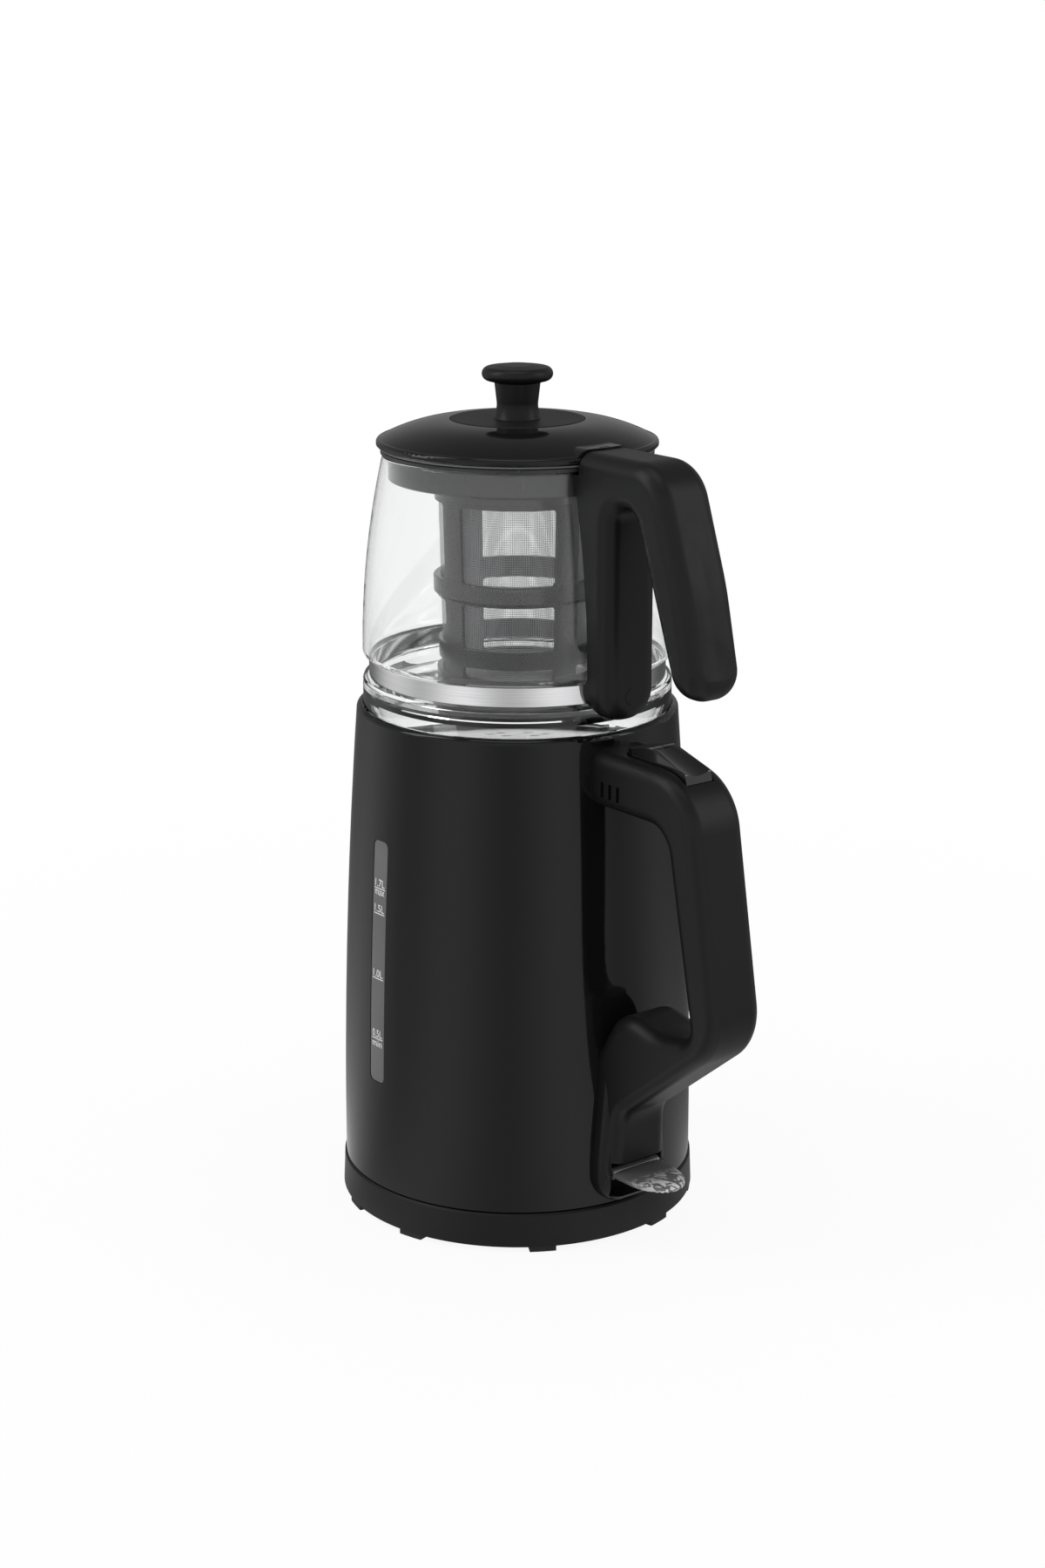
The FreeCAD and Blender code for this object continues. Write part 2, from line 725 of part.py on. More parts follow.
def build_kettle_lid():
    """Hinged lid under the teapot: plate, steel liner and seal."""
    plate = cylinder(lid_radius, kettle_lid_bottom, kettle_lid_top)
    plate = plate.cut(beyond_chord(lid_chord_x))
    arm_half = lid_hinge_half_width
    arm_root = lid_chord_x - 6
    arm = block(arm_root, lid_hinge_x, -arm_half, arm_half, kettle_lid_bottom, kettle_lid_top)
    knuckle = cross_pin(lid_knuckle_radius, arm_half, lid_hinge_x, lid_hinge_z)
    plate = plate.fuse(arm).fuse(knuckle)
    plate = plate.cut(cross_pin(lid_pin_radius + pin_gap, arm_half + 1, lid_hinge_x, lid_hinge_z))
    hole = cylinder(steam_hole_radius, kettle_lid_bottom - 3, kettle_lid_top + 1, steam_hole_circle)
    steam_holes = [turned(hole, 360 / steam_hole_count * i) for i in range(steam_hole_count)]
    liner_low = kettle_lid_bottom - 0.6
    liner = cylinder(lid_radius - 4.0, liner_low, kettle_lid_bottom)
    liner = liner.cut(beyond_chord(arm_root))
    seal = ring(lid_radius - 3.6, lid_radius - 0.4, kettle_lid_bottom - 2.0, kettle_lid_bottom)
    seal = seal.cut(beyond_chord(lid_chord_x))
    for hole in steam_holes:
        plate = plate.cut(hole)
        liner = liner.cut(hole)
    save("kettle_lid_plate", plate)
    save("kettle_lid_liner", liner)
    save("kettle_lid_seal", seal)


# ---------------------------------------------------------------- kettle handle
def kettle_handle_solid():
    """Whole moulded handle, before it is split into its two shells."""
    slope = (handle_low_reach - handle_top_reach) / (handle_top - handle_low_height)
    inner_top_x = handle_top_reach + slope * arm_height - handle_thickness + 1.5
    inner_low_x = inner_top_x + slope * (arm_bottom - crest_height) + 3.0
    corners = [
        (handle_root, handle_top, 0),
        (handle_top_reach, handle_top - arm_fall, handle_top_round),
        (handle_low_reach, handle_low_height, handle_low_round),
        (body_bottom_radius + scoop_out, scoop_height, scoop_round),
        (block_reach, block_bottom, block_round),
        (handle_root, block_bottom, 0),
        (handle_root, heel_height - heel_round / 2, 0),
        (body_bottom_radius - heel_inset, heel_height, heel_round),
        (body_bottom_radius + crest_out, crest_height, crest_round),
        (body_bottom_radius + floor_out, crest_height - floor_drop, floor_round),
        (inner_low_x, crest_height - 1.0, opening_low_round),
        (inner_top_x, arm_bottom, opening_top_round),
        (handle_root, arm_bottom, 0)]
    grip = side_prism(corners, handle_half_width)
    grip = round_edges(grip, handle_round, lambda p: p.x > handle_root + 1)
    half = handle_half_width - 1.0
    foot = block_half_width
    foot_low = block_bottom - 0.4
    front = [
        (-half, pad_top, pad_neck_round), (-foot, pad_waist_height, pad_side_round),
        (-foot, foot_low, pad_foot_round), (foot, foot_low, pad_foot_round),
        (foot, pad_waist_height, pad_side_round), (half, pad_top, pad_neck_round)]
    pad = front_prism(front, handle_root, pad_reach)
    pad = round_edges(pad, pad_round, lambda p: p.x > pad_reach - 0.1)
    return grip.fuse(pad)


def parting_corners():
    """Line between the handle's outer and inner shells, seen from the side."""
    start = handle_root - 5
    top = handle_top - parting_drop
    foot = scoop_height + parting_foot_rise
    return [(start, top, 0), (handle_top_reach - parting_inset, top, parting_top_round),
            (body_bottom_radius + parting_low_out, handle_low_height + parting_low_rise, parting_low_round),
            (body_bottom_radius + parting_foot_out, foot, 0), (start, foot, 0)]


def build_kettle_handle():
    """Outer grip shell with the button's recess and lever slot, inner shell with its vents."""
    solid = kettle_handle_solid().cut(body_solid(-hug_gap))
    inner = solid.common(side_prism(parting_corners(), 2 * block_half_width))
    outer = solid.cut(side_prism(parting_corners(), 2 * block_half_width))

    recess_half = button_half_width + button_gap
    recess_low = handle_top - button_recess_depth
    recess = front_round_slot(button_inner - button_gap, button_outer + button_gap, recess_half,
                              recess_low, handle_top + 10)
    outer = outer.cut(recess)
    pin = cross_pin(button_pin_radius, recess_half + pin_seat, button_pivot_x, button_pivot_z)
    outer = outer.cut(pin)

    slot_half = lever_half_width + slot_side_gap
    outer = outer.cut(block(handle_root, lever_reach, -slot_half, slot_half,
                            lever_pivot_z - slot_below, lever_pivot_z + slot_above))
    lever_pin = cross_pin(lever_pin_radius, slot_half + lever_pin_seat, lever_pivot_x, lever_pivot_z)
    outer = outer.cut(lever_pin)

    vent_low = arm_bottom + vent_lift
    for i in range(vent_count):
        x = body_bottom_radius - vent_inset + vent_pitch * i
        for side in (-1, 1):
            y0 = side * handle_half_width - vent_depth
            vent = block(x - vent_width / 2, x + vent_width / 2, y0, y0 + 2 * vent_depth,
                         vent_low, vent_low + vent_height)
            inner = inner.cut(vent)
    studs = handle_studs()
    for stud in studs:
        outer = outer.cut(stud)
        inner = inner.cut(stud)
    save("handle_studs", Part.makeCompound(studs))
    save("handle_outer_shell", outer)
    save("handle_inner_shell", inner)
    save("button_pivot_pin", pin)
    save("lever_pivot_pin", lever_pin)


def front_round_slot(x0, x1, half, low, high):
    """Upright prism with a half-round inner end and a square outer end."""
    square = block(x0 + half, x1, -half, half, low, high)
    return square.fuse(cylinder(half, low, high, x0 + half))


def handle_studs():
    """Studs welded to the kettle's wall, which the handle's shells are clamped on."""
    studs = []
    for z, length in ((upper_stud_height, upper_stud_length), (lower_stud_height, lower_stud_length)):
        wall = body_radius(z)
        studs.append(radial_cylinder(stud_radius, wall - stud_root, wall + length, z).cut(body_solid(0)))
    return studs


# ---------------------------------------------------------------- button and lever
def build_button():
    """Glossy rocker that releases the kettle's lid, and its return spring."""
    low = handle_top - button_sink
    corners = [
        (button_inner, low, 1.0), (button_inner, handle_top + 1.6, 1.5),
        (button_crown_reach, handle_top + button_crown, 6.0),
        (button_outer - 1.5, handle_top - 0.6, 1.5), (button_outer, low, 1.0)]
    body = side_prism(corners, button_half_width)
    plan = front_round_slot(button_inner, button_outer, button_half_width, low - 5, handle_top + 20)
    body = body.common(plan)
    dish_fall = math.atan2(button_crown + 0.6 + dish_depth, button_outer - 1.5 - button_crown_reach)
    dish_axis = V(math.cos(dish_fall), 0, -math.sin(dish_fall))
    dish_start = V(button_crown_reach + 1.0, 0, handle_top + button_crown - 0.8)
    dish = Part.makeCylinder(dish_radius, 2 * (button_outer - button_crown_reach),
                             dish_start + V(dish_axis.z, 0, -dish_axis.x) * -dish_radius, dish_axis)
    body = body.cut(dish)
    lug = block(button_pivot_x - button_lug, button_pivot_x + button_lug,
                -button_half_width, button_half_width, button_pivot_z - button_lug, low + 1)
    bore = cross_pin(button_pin_radius + pin_gap, button_half_width + 1, button_pivot_x, button_pivot_z)
    body = body.fuse(lug).cut(bore)
    floor = handle_top - button_recess_depth
    strip = spring_strip
    bend = button_outer - 1.5
    tip = bend - 8.0
    spring = side_prism([
        (tip, floor, 0), (bend, floor, 1.5), (bend, floor + 3 * strip, 0), (tip + 1.5, low - 0.1, 0),
        (tip, low - 0.1, 0), (tip, low - 0.1 - strip, 0), (bend - 2.5, floor + 2.4 * strip, 0),
        (bend - 1.5, floor + strip, 0), (tip, floor + strip, 0)], button_half_width - 3.0)
    save("lid_button", body)
    save("button_spring", spring)


def build_lever():
    """Clear paddle that switches the kettle on and off."""
    half = lever_half_width
    nose = half * 1.25
    straight = lever_reach - nose
    rim = Part.Ellipse(V(lever_reach, 0, 0), V(straight, half, 0), V(straight, 0, 0))
    plan = Part.Wire([
        Part.LineSegment(V(straight, -half, 0), V(lever_pivot_x, -half, 0)).toShape(),
        Part.LineSegment(V(lever_pivot_x, -half, 0), V(lever_pivot_x, half, 0)).toShape(),
        Part.LineSegment(V(lever_pivot_x, half, 0), V(straight, half, 0)).toShape(),
        Part.ArcOfEllipse(rim, -math.pi / 2, math.pi / 2).toShape()])
    top = lever_pivot_z + lever_thickness / 2
    plan.translate(V(0, 0, top - lever_thickness))
    paddle = Part.Face(plan).extrude(V(0, 0, lever_thickness))
    paddle = round_edges(paddle, lever_edge_round,
                         lambda p: p.x > straight + 1 and abs(p.z - lever_pivot_z) > lever_thickness / 4)
    hub = cross_pin(lever_hub_radius, half, lever_pivot_x, lever_pivot_z)
    paddle = paddle.fuse(hub)
    paddle = paddle.cut(cross_pin(lever_pin_radius + pin_gap, half + 1, lever_pivot_x, lever_pivot_z))
    save("switch_lever", paddle)


# ---------------------------------------------------------------- teapot
def glass_outer_edges():
    """Outer line of the glass from the ring's foot up to the rim."""
    low_round = 1.4
    neck_mid = (glass_ring_radius - 0.6, (glass_ring_top + glass_waist_low) / 2 + 0.1)
    edges = line_edges((glass_foot_radius, glass_bottom), (glass_ring_radius - low_round, glass_bottom),
                       (glass_ring_radius, glass_bottom + low_round),
                       (glass_ring_radius, glass_ring_top - 0.8))
    edges += line_edges((glass_ring_radius, glass_ring_top - 0.8), neck_mid,
                        (glass_waist_radius, glass_waist_low), (glass_waist_radius, glass_waist_high))
    edges.append(arc_edge((glass_waist_radius, glass_waist_high),
                          (glass_waist_radius + 2.2, glass_waist_high + 1.2),
                          (glass_bulge_radius, glass_bulge_height)))
    edges.append(arc_edge((glass_bulge_radius, glass_bulge_height), (glass_mid_radius, glass_mid_height),
                          (glass_rim_radius, glass_rim_height - glass_wall / 2)))
    return edges


def glass_solid_outside():
    """Everything inside the glass's outer line, for cutting what hugs it."""
    top = glass_rim_height - glass_wall / 2
    closing = line_edges((glass_rim_radius, top), (glass_rim_radius, glass_rim_height), (0, glass_rim_height),
                         (0, glass_bottom), (glass_foot_radius, glass_bottom))
    return revolve(glass_outer_edges() + closing)


def build_glass():
    """Blown glass pot with a waist for the band and a raised floor."""
    wall = glass_wall
    rim_z = glass_rim_height - wall / 2
    inner_rim = glass_rim_radius - wall
    inner = [arc_edge((inner_rim, rim_z), (glass_mid_radius - wall, glass_mid_height),
                      (glass_bulge_radius - wall, glass_bulge_height))]
    inner.append(arc_edge((glass_bulge_radius - wall, glass_bulge_height),
                          (glass_waist_radius + 2.2 - wall, glass_waist_high + 1.2),
                          (glass_waist_radius - wall, glass_waist_high)))
    floor_top = glass_floor + 2.5
    inner_ring = glass_ring_radius - wall
    inner_waist = glass_waist_radius - wall
    inner += line_edges((inner_waist, glass_waist_high), (inner_waist, glass_waist_low),
                        (inner_ring, glass_ring_top - 1.6), (inner_ring, floor_top + 2.5),
                        (inner_ring - 2.5, floor_top), (0, floor_top), (0, glass_floor),
                        (glass_foot_radius - 2.0, glass_floor), (glass_foot_radius, glass_bottom))
    rim_middle = (glass_rim_radius - wall / 2, glass_rim_height)
    rim = arc_edge((glass_rim_radius, rim_z), rim_middle, (inner_rim, rim_z))
    save("teapot_glass", revolve(glass_outer_edges() + [rim] + inner))


def build_band():
    """Steel band with its nut, the radial screw into it and the cap over the screw."""
    band_outer = glass_waist_radius + band_thickness
    screw_z = band_screw_height
    nut_end = band_outer + band_nut_depth
    cap_start = pot_column_reach - screw_cap_thickness
    nut = block(glass_waist_radius, nut_end, -band_nut_half, band_nut_half,
                screw_z - band_nut_half, screw_z + band_nut_half)
    band = cylinder(band_outer, glass_waist_low, glass_waist_high).fuse(nut)
    band = band.cut(cylinder(glass_waist_radius + hug_gap, glass_waist_low - 1, glass_waist_high + 1))
    screw_start = band_outer + hug_gap
    head_start = cap_start - band_screw_head_depth
    shank = radial_cylinder(band_screw_radius, screw_start, head_start, screw_z)
    head = radial_cylinder(band_screw_head, head_start, cap_start, screw_z)
    band = band.cut(radial_cylinder(band_screw_radius, screw_start, nut_end + 1, screw_z))
    cap = radial_cylinder(screw_cap_radius, cap_start, pot_column_reach + screw_cap_crown, screw_z)
    cap = round_edges(cap, screw_cap_crown, lambda p: p.x > pot_column_reach)
    save("steel_band", band)
    save("band_screw", shank.fuse(head))
    save("screw_cap", cap)


def round_end(solid, x0, x1, half, low, radius):
    """Round the two lower corners of an upright limb, seen from the handle's end."""
    high = low + 2 * radius
    corners = [(-half, low, radius), (half, low, radius), (half, high, 0), (-half, high, 0)]
    zone = block(x0, x1, -half - 1, half + 1, low - 1, low + radius)
    return solid.cut(zone.cut(front_prism(corners, x0 - 1, x1 + 1)))


def build_pot_handle():
    """Open-ended moulded handle: outer shell over an inner shell with the glass column."""
    inside = pot_root
    half = pot_handle_half_width
    back_x = (pot_handle_reach + pot_tip_reach) / 2 + pot_back_bow
    back_z = (pot_handle_top + pot_tip_bottom) / 2 - 2.0
    arch_right = pot_column_reach + pot_arch_width
    corners = [
        (inside, pot_handle_top, 0), (pot_handle_reach, pot_handle_top, pot_handle_top_round),
        (back_x, back_z, pot_back_round),
        (pot_tip_reach, pot_tip_bottom, 0), (pot_tip_reach - pot_tip_thickness, pot_tip_bottom, 0),
        (arch_right, pot_arch_height, pot_arch_round), (pot_column_reach, pot_arch_height, pot_arch_round),
        (pot_column_reach, pot_column_bottom, 0), (inside, pot_column_bottom, 0)]
    solid = side_prism(corners, half)
    tip_start = pot_tip_reach - 1.5 * pot_tip_thickness
    solid = round_end(solid, inside - 1, pot_column_reach + 1, half, pot_column_bottom, pot_column_round)
    solid = round_end(solid, tip_start, pot_tip_reach + 1, half, pot_tip_bottom, pot_tip_side_round)
    solid = round_edges(solid, pot_handle_round, lambda p: p.x > inside + 1)
    solid = solid.cut(glass_solid_outside())
    band_outer = glass_waist_radius + band_thickness
    solid = solid.cut(cylinder(band_outer, glass_waist_low - 0.3, glass_waist_high + 0.3))
    solid = solid.cut(cylinder(pot_lid_radius + lid_side_gap, glass_rim_height - 1, pot_handle_top + 5))
    solid = solid.cut(cylinder(glass_rim_radius + 0.02, glass_bottom - 20, glass_rim_height))
    screw_z = band_screw_height
    nut_half = band_nut_half + 0.2
    nut_end = band_outer + band_nut_depth + 0.2
    cap_start = pot_column_reach - screw_cap_thickness
    solid = solid.cut(block(inside, nut_end, -nut_half, nut_half, screw_z - nut_half, screw_z + nut_half))
    solid = solid.cut(radial_cylinder(band_screw_radius, inside, cap_start, screw_z))
    solid = solid.cut(radial_cylinder(band_screw_head, cap_start - band_screw_head_depth, cap_start, screw_z))
    solid = solid.cut(radial_cylinder(screw_cap_radius, cap_start, pot_column_reach + 1, screw_z))

    parting_top = pot_handle_top - pot_parting_drop
    parting_tip = pot_tip_reach - pot_tip_thickness + pot_shell_depth
    zone = side_prism([
        (inside - 5, parting_top, 0), (arch_right - 2.0, parting_top, pot_parting_round),
        (parting_tip, pot_tip_bottom + 10.0, 0), (parting_tip + 2.0, pot_tip_bottom - 10.0, 0),
        (inside - 5, pot_tip_bottom - 40.0, 0)], half + 10)
    save("pot_handle_outer", solid.cut(zone))
    save("pot_handle_inner", solid.common(zone))


# ---------------------------------------------------------------- infuser
def cage_radius(height):
    """Outside radius of the tapered cage at a height."""
    taper = cage_draft / (cage_top_height - cage_bottom)
    return cage_bottom_radius + taper * (height - cage_bottom)


def infuser_frame():
    """Whole infuser frame before its windows are cut and it is split into its three mouldings."""
    wall = cage_wall
    shoulder = collar_bottom - cage_shoulder_step
    foot_top = cage_bottom + cage_foot_height
    bead = cage_bottom_radius + cage_foot_bead
    floor_radius = cage_bottom_radius - cage_floor_rim
    return turned_outline([
        (collar_radius - wall, flange_top), (flange_radius, flange_top), (flange_radius, flange_low),
        (collar_radius, flange_low), (collar_radius, collar_bottom),
        (cage_top_radius + 3.0, shoulder), (cage_top_radius + 0.6, shoulder - wall),
        (cage_top_radius, cage_top_height - 1.5),
        (cage_radius(cage_ring_high), cage_ring_high), (cage_ring_radius, cage_ring_high - cage_ring_bevel),
        (cage_ring_radius, cage_ring_low + cage_ring_bevel), (cage_radius(cage_ring_low), cage_ring_low),
        (cage_radius(foot_top), foot_top), (bead, foot_top - 1.2), (bead, cage_bottom + 1.0),
        (cage_bottom_radius, cage_bottom), (floor_radius, cage_bottom), (floor_radius, cage_bottom + wall),
        (cage_bottom_radius - wall, cage_bottom + wall), (cage_top_radius - wall, cage_top_height),
        (cage_top_radius - wall + 0.8, shoulder + wall), (collar_radius - wall, collar_bottom + wall)])


def build_infuser():
    """Infuser that hangs from the glass rim: collar, upper cage with its ring, lower cage and mesh."""
    frame = infuser_frame()
    spans = ((cage_bottom + cage_foot_height + cage_margin, cage_ring_low - cage_margin / 2),
             (cage_ring_high + cage_margin / 2, cage_top_height - cage_margin / 2))
    for low, high in spans:
        for i in range(cage_windows):
            sector = Part.makeCylinder(cage_ring_radius + 2, high - low, V(0, 0, low), AXIS_Z,
                                       cage_window_angle)
            sector = sector.cut(cylinder(cage_bottom_radius - 8, low - 1, high + 1))
            turn = 360 / cage_windows * (i + 0.5) - cage_window_angle / 2
            frame = frame.cut(turned(sector, turn))
    reach = flange_radius + 1
    mesh_low = cage_bottom + cage_wall
    inner_low = cage_bottom_radius - cage_wall
    inner_high = cage_top_radius - cage_wall
    mesh = turned_outline([
        (0, mesh_low), (inner_low, mesh_low), (inner_high, cage_top_height),
        (inner_high - mesh_thickness, cage_top_height),
        (inner_low - mesh_thickness, mesh_low + mesh_thickness),
        (0, mesh_low + mesh_thickness)])
    save("infuser_collar", frame.common(cylinder(reach, cage_top_height, flange_top + 1)))
    save("infuser_upper_cage", frame.common(cylinder(reach, cage_ring_low, cage_top_height)))
    save("infuser_lower_cage", frame.common(cylinder(reach, cage_bottom - 1, cage_ring_low)))
    save("infuser_mesh", mesh)


# ---------------------------------------------------------------- teapot lid
def lid_tab():
    """Arched hump at the dome's edge that carries on the line of the handle's head."""
    top = pot_handle_top + tab_step
    low = top - 2 * tab_round
    half = pot_handle_half_width + tab_flare
    arch = [(-half, low, 0), (-half, top, tab_round), (half, top, tab_round), (half, low, 0)]
    hump = front_prism(arch, pot_lid_radius - tab_length, pot_lid_radius)
    return hump.common(cylinder(pot_lid_radius - 0.3, pot_lid_edge_top - 1, top + 1))


def build_pot_lid():
    """Dome, matte disc, knob, knob screw and seal."""
    edge_top = pot_lid_edge_top
    disc_low = pot_lid_disc_height - pot_lid_disc_thickness
    seat_radius = pot_lid_disc_radius + 0.3
    wall = pot_lid_wall
    skirt_low = flange_low - skirt_depth
    crown_mid = (pot_lid_radius - pot_lid_crown_inset, edge_top + pot_lid_crown)
    top_edge = (pot_lid_radius - 1.6, edge_top)
    shoulder = (pot_lid_radius - 0.45, edge_top - 0.45)
    seat_edge = (seat_radius, pot_lid_disc_height - 0.3)
    outer = [arc_edge((pot_lid_radius, edge_top - 1.6), shoulder, top_edge),
             arc_edge(top_edge, crown_mid, seat_edge)]
    outline = line_edges(seat_edge, (seat_radius, disc_low), (0, disc_low), (0, disc_low - wall),
                         (seat_radius, disc_low - wall), (skirt_outer - 4.0, pot_lid_bottom + wall),
                         (skirt_outer - 1.8, pot_lid_bottom + wall), (skirt_outer - 1.8, skirt_low),
                         (skirt_outer, skirt_low), (skirt_outer, pot_lid_bottom),
                         (pot_lid_radius - 0.8, pot_lid_bottom), (pot_lid_radius, pot_lid_bottom + 0.8),
                         (pot_lid_radius, edge_top - 1.6))
    dome = revolve(outer + outline)
    dome = dome.fuse(lid_tab())
    vent_x = pot_lid_radius - tab_vent_inset
    dome = dome.cut(block(vent_x - tab_vent_width / 2, vent_x + tab_vent_width / 2,
                          -tab_vent_half, tab_vent_half, edge_top, pot_handle_top + 1))
    disc = cylinder(pot_lid_disc_radius, disc_low, pot_lid_disc_height)
    disc = round_edges(disc, 0.6, lambda p: p.z > pot_lid_disc_height - 0.1)
    cap_low = knob_top - knob_cap_height
    widest = cap_low + 3.0
    foot = pot_lid_disc_height
    neck_z = foot + 6.4
    knob_edges = line_edges((0, foot), (knob_foot_radius, foot))
    knob_edges.append(arc_edge((knob_foot_radius, foot), (knob_neck_radius + 0.1, foot + 4.2),
                               (knob_neck_radius, neck_z)))
    knob_edges += line_edges((knob_neck_radius, neck_z), (knob_neck_radius + 1.0, cap_low),
                             (knob_cap_radius - 2.4, cap_low + 0.8))
    knob_edges.append(arc_edge((knob_cap_radius - 2.4, cap_low + 0.8), (knob_cap_radius, widest),
                               (knob_cap_radius - 2.6, knob_top - 0.7)))
    knob_edges += line_edges((knob_cap_radius - 2.6, knob_top - 0.7), (knob_cap_radius / 2, knob_top),
                             (0, knob_top), (0, foot))
    knob = revolve(knob_edges)
    shank = cylinder(knob_screw_radius, disc_low - wall, foot + 12.0)
    head = cylinder(4.0, disc_low - wall - 2.0, disc_low - wall)
    dome = dome.cut(shank)
    disc = disc.cut(shank)
    knob = knob.cut(shank)
    seal = ring(collar_radius - 0.5, flange_radius, pot_lid_bottom - lid_seal_thickness, pot_lid_bottom)
    save("pot_lid_dome", dome)
    save("pot_lid_disc", disc)
    save("pot_lid_knob", knob)
    save("knob_screw", shank.fuse(head))
    save("pot_lid_seal", seal)


# ---------------------------------------------------------------- build
os.makedirs("parts", exist_ok=True)
hub_top_level = build_base()
build_kettle_shell()
build_underside(hub_top_level)
build_mouth()
build_kettle_lid()
build_kettle_handle()
build_button()
build_lever()
build_glass()
build_band()
build_pot_handle()
build_infuser()
build_pot_lid()
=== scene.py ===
import math
import random

import bmesh
import bpy
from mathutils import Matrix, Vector
from mathutils.bvhtree import BVHTree


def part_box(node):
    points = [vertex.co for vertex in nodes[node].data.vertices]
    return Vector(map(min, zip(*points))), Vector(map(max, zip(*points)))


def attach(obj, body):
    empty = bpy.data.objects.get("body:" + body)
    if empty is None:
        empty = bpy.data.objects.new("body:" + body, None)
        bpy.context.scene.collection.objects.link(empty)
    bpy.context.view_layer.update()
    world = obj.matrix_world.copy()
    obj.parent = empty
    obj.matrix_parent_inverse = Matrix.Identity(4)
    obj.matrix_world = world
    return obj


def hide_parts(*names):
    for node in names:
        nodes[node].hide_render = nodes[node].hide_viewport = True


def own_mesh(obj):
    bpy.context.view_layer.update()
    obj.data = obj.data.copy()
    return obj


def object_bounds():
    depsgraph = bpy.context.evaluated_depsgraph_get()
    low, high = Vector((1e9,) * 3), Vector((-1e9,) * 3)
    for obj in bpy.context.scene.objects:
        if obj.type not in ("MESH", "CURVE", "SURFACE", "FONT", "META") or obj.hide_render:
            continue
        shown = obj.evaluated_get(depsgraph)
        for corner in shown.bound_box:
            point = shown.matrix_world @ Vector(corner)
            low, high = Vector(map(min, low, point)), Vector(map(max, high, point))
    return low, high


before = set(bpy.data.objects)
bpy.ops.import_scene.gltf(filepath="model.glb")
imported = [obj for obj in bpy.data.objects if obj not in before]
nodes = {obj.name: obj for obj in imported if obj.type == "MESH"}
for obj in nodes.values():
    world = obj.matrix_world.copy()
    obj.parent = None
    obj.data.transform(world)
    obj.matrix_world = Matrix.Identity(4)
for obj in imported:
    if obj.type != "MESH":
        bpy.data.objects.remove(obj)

cadLow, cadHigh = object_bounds()
mm = 0.001
print("frame loaded,", len(nodes), "nodes")


# ways to write shader trees briefly
def putNode(tree, kind, inputs=None, **settings):
    node = tree.nodes.new(kind)
    for key, value in settings.items():
        setattr(node, key, value)
    for key, value in (inputs or {}).items():
        node.inputs[key].default_value = value
    return node


def calc(tree, operation, first, second=0.5, clamp=False):
    node = putNode(tree, "ShaderNodeMath", operation=operation, use_clamp=clamp)
    for socket, value in zip(node.inputs, (first, second)):
        if isinstance(value, bpy.types.NodeSocket):
            tree.links.new(value, socket)
        else:
            socket.default_value = value
    return node.outputs[0]


def stretch(tree, value, fromLow, fromHigh, toLow=0.0, toHigh=1.0):
    node = putNode(tree, "ShaderNodeMapRange")
    tree.links.new(value, node.inputs["Value"])
    bounds = {"From Min": fromLow, "From Max": fromHigh, "To Min": toLow, "To Max": toHigh}
    for name, bound in bounds.items():
        if isinstance(bound, bpy.types.NodeSocket):
            tree.links.new(bound, node.inputs[name])
        else:
            node.inputs[name].default_value = bound
    return node.outputs["Result"]


def newGroup(name, inputs, outputs):
    group = bpy.data.node_groups.new(name, "ShaderNodeTree")
    for label, value in inputs.items():
        socket = group.interface.new_socket(name=label, in_out="INPUT", socket_type="NodeSocketFloat")
        socket.default_value = value
    for label in outputs:
        group.interface.new_socket(name=label, in_out="OUTPUT", socket_type="NodeSocketFloat")
    return group, group.nodes.new("NodeGroupInput"), group.nodes.new("NodeGroupOutput")


def noiseOf(tree, vector, scale, detail=2.0, roughness=0.5):
    node = putNode(tree, "ShaderNodeTexNoise", {"Detail": detail, "Roughness": roughness})
    tree.links.new(vector, node.inputs["Vector"])
    if isinstance(scale, bpy.types.NodeSocket):
        tree.links.new(scale, node.inputs["Scale"])
    else:
        node.inputs["Scale"].default_value = scale
    return node.outputs["Fac"]


# moulded grain: fine pebbles over a slow swell, with a patchiness for the roughness
grainEffect = {"pebbleShare": 0.6, "fineShare": 0.4, "fineScale": 0.55, "swellPerMetre": 90.0,
               "patchRange": (0.3, 0.7)}


def makeGrain(look):
    group, given, out = newGroup("mouldedGrain", {"Pebbles per metre": 2600.0, "Swell": 0.35,
                                                  "Patch per metre": 22.0}, ["Height", "Patch"])
    place = putNode(group, "ShaderNodeTexCoord").outputs["Object"]
    pebbles = putNode(group, "ShaderNodeTexVoronoi", feature="SMOOTH_F1")
    group.links.new(place, pebbles.inputs["Vector"])
    group.links.new(given.outputs["Pebbles per metre"], pebbles.inputs["Scale"])
    finePerMetre = calc(group, "MULTIPLY", given.outputs["Pebbles per metre"], look["fineScale"])
    fine = noiseOf(group, place, finePerMetre, detail=3.0, roughness=0.6)
    swell = noiseOf(group, place, look["swellPerMetre"])
    height = calc(group, "ADD", calc(group, "MULTIPLY", pebbles.outputs["Distance"], look["pebbleShare"]),
                  calc(group, "MULTIPLY", fine, look["fineShare"]))
    height = calc(group, "ADD", height, calc(group, "MULTIPLY", swell, given.outputs["Swell"]))
    group.links.new(height, out.inputs["Height"])
    patch = noiseOf(group, place, given.outputs["Patch per metre"], detail=4.0, roughness=0.55)
    group.links.new(stretch(group, patch, *look["patchRange"]), out.inputs["Patch"])
    return group


# wipe marks and touch: long faint streaks and blotches where a cloth or a hand has been
wipeEffect = {"streakScale": (260.0, 260.0, 14.0), "streakTurn": (0.25, 0.1, 0.0),
              "streakRange": (0.48, 0.75), "blotchesPerMetre": 34.0, "blotchRange": (0.5, 0.78)}


